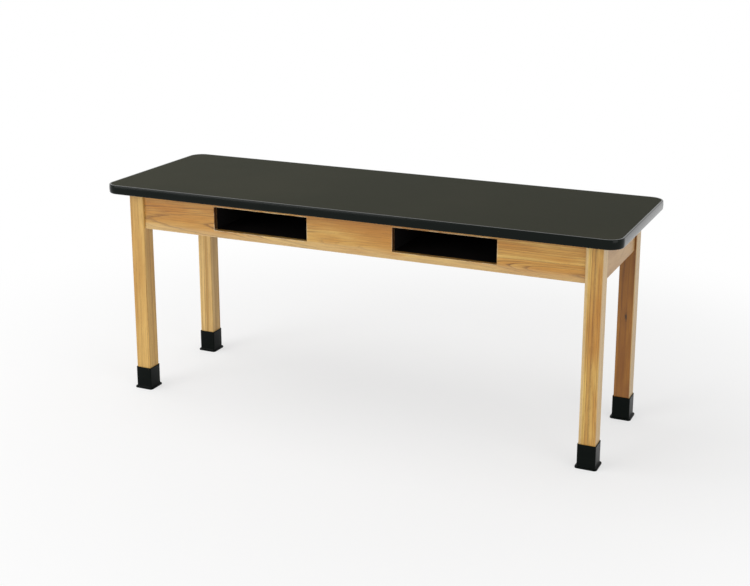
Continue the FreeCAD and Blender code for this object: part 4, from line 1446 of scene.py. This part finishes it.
@dataclass
class Studio:
    """Camera, lamps, world and floor."""

    lamps: tuple[Lamp, ...] = (
        Lamp("key", -34.0, 14.0, 9.0, 4.5, 0.34),
        Lamp("fill", 62.0, 12.0, 7.0, 4.0, 0.24),
        Lamp("overhead", -74.0, 55.0, 3.4, 2.5, 0.36),
    )
    world_level: float = 0.52
    floor_side: float = 60.0
    floor_shade: float = 0.94
    floor_fade: tuple[float, float] = (0.9, 2.4)
    floor_white: float = 0.6
    image_width: float = 750.0
    focal_pixels: float = 1301.4
    sensor_width: float = 36.0
    camera_place: Place = (1.7780, -3.9358, 1.7621)
    camera_yaw: float = 0.4272
    camera_pitch: float = 0.2483
    camera_shift: float = -0.1

    def camera(self) -> None:
        """Set the camera close to the photograph's view, with a part of its lens shift."""
        data = bpy.data.cameras.new("camera")
        data.sensor_width = self.sensor_width
        data.lens = self.focal_pixels / self.image_width * self.sensor_width
        data.shift_y = self.camera_shift
        yaw, pitch = self.camera_yaw, self.camera_pitch
        ahead = Vector((-np.sin(yaw) * np.cos(pitch), np.cos(yaw) * np.cos(pitch), -np.sin(pitch)))
        camera = add_object("camera", data)
        aim(camera, self.camera_place, ahead)
        bpy.context.scene.camera = camera

    def seen_directly(self, graph: Graph) -> Socket:
        """1 for what the camera, a reflection or a clear piece shows, 0 for soft light.

        Args:
            graph: the graph of a world or material.

        Returns:
            The mask.
        """
        path = graph.add("LightPath").outputs
        mirrored = graph.math("MAXIMUM", path["Is Glossy Ray"], path["Is Transmission Ray"])
        return graph.math("MAXIMUM", path["Is Camera Ray"], mirrored)

    def world(self) -> None:
        """White to look at, and a plain level of soft light on the table."""
        world = bpy.data.worlds.new("studio")
        graph = blank_graph(world)
        strength = graph.fade(self.seen_directly(graph), 0.0, 1.0, self.world_level, 1.0)
        light = graph.add("Background", {"Color": WHITE, "Strength": strength})
        graph.add("OutputWorld", {"Surface": light.outputs[0]})
        bpy.context.scene.world = world

    def floor(self) -> None:
        """Lay a pale floor that keeps the table's shadow and turns plain white further out."""
        side = self.floor_side / 2
        corners = [(-side, -side, 0.0), (side, -side, 0.0), (side, side, 0.0), (-side, side, 0.0)]
        mesh = bpy.data.meshes.new("studio_floor")
        mesh.from_pydata(corners, [], [(0, 1, 2, 3)])
        material = bpy.data.materials.new("studio_floor")
        graph = blank_graph(material)
        matt = graph.add("BsdfDiffuse", {"Color": (*[self.floor_shade] * 3, 1.0)})
        white = graph.add("Emission", {"Color": WHITE, "Strength": 1.0})
        reach = graph.vector("LENGTH", graph.place())
        white_share = graph.fade(reach, *self.floor_fade, self.floor_white, 1.0)
        factor = graph.times(white_share, self.seen_directly(graph))
        mixed = graph.add("MixShader", {0: factor, 1: matt.outputs[0], 2: white.outputs[0]})
        graph.add("OutputMaterial", {"Surface": mixed.outputs[0]})
        mesh.materials.append(material)
        floor = add_object("studio_floor", mesh)

    def build(self) -> None:
        """Set up the whole studio."""
        bpy.context.scene.view_settings.view_transform = "Standard"
        self.camera()
        self.world()
        self.floor()
        for lamp in self.lamps:
            lamp.build(middle_of(CAD_BOX))


def main() -> None:
    """Build every sub-assembly, then the studio."""
    logging.basicConfig(level=logging.INFO, format="%(name)s: %(message)s")
    parts = [TableTop(), OakFrame(), CornerJoints(), TopFixings(), BookBoxes(), LegInserts()]
    parts += [Foot(corner) for corner in Corner]
    for part in parts:
        log.info("building %s", type(part).__name__)
        part.build()
    Studio().build()


if __name__ == "__main__":
    main()
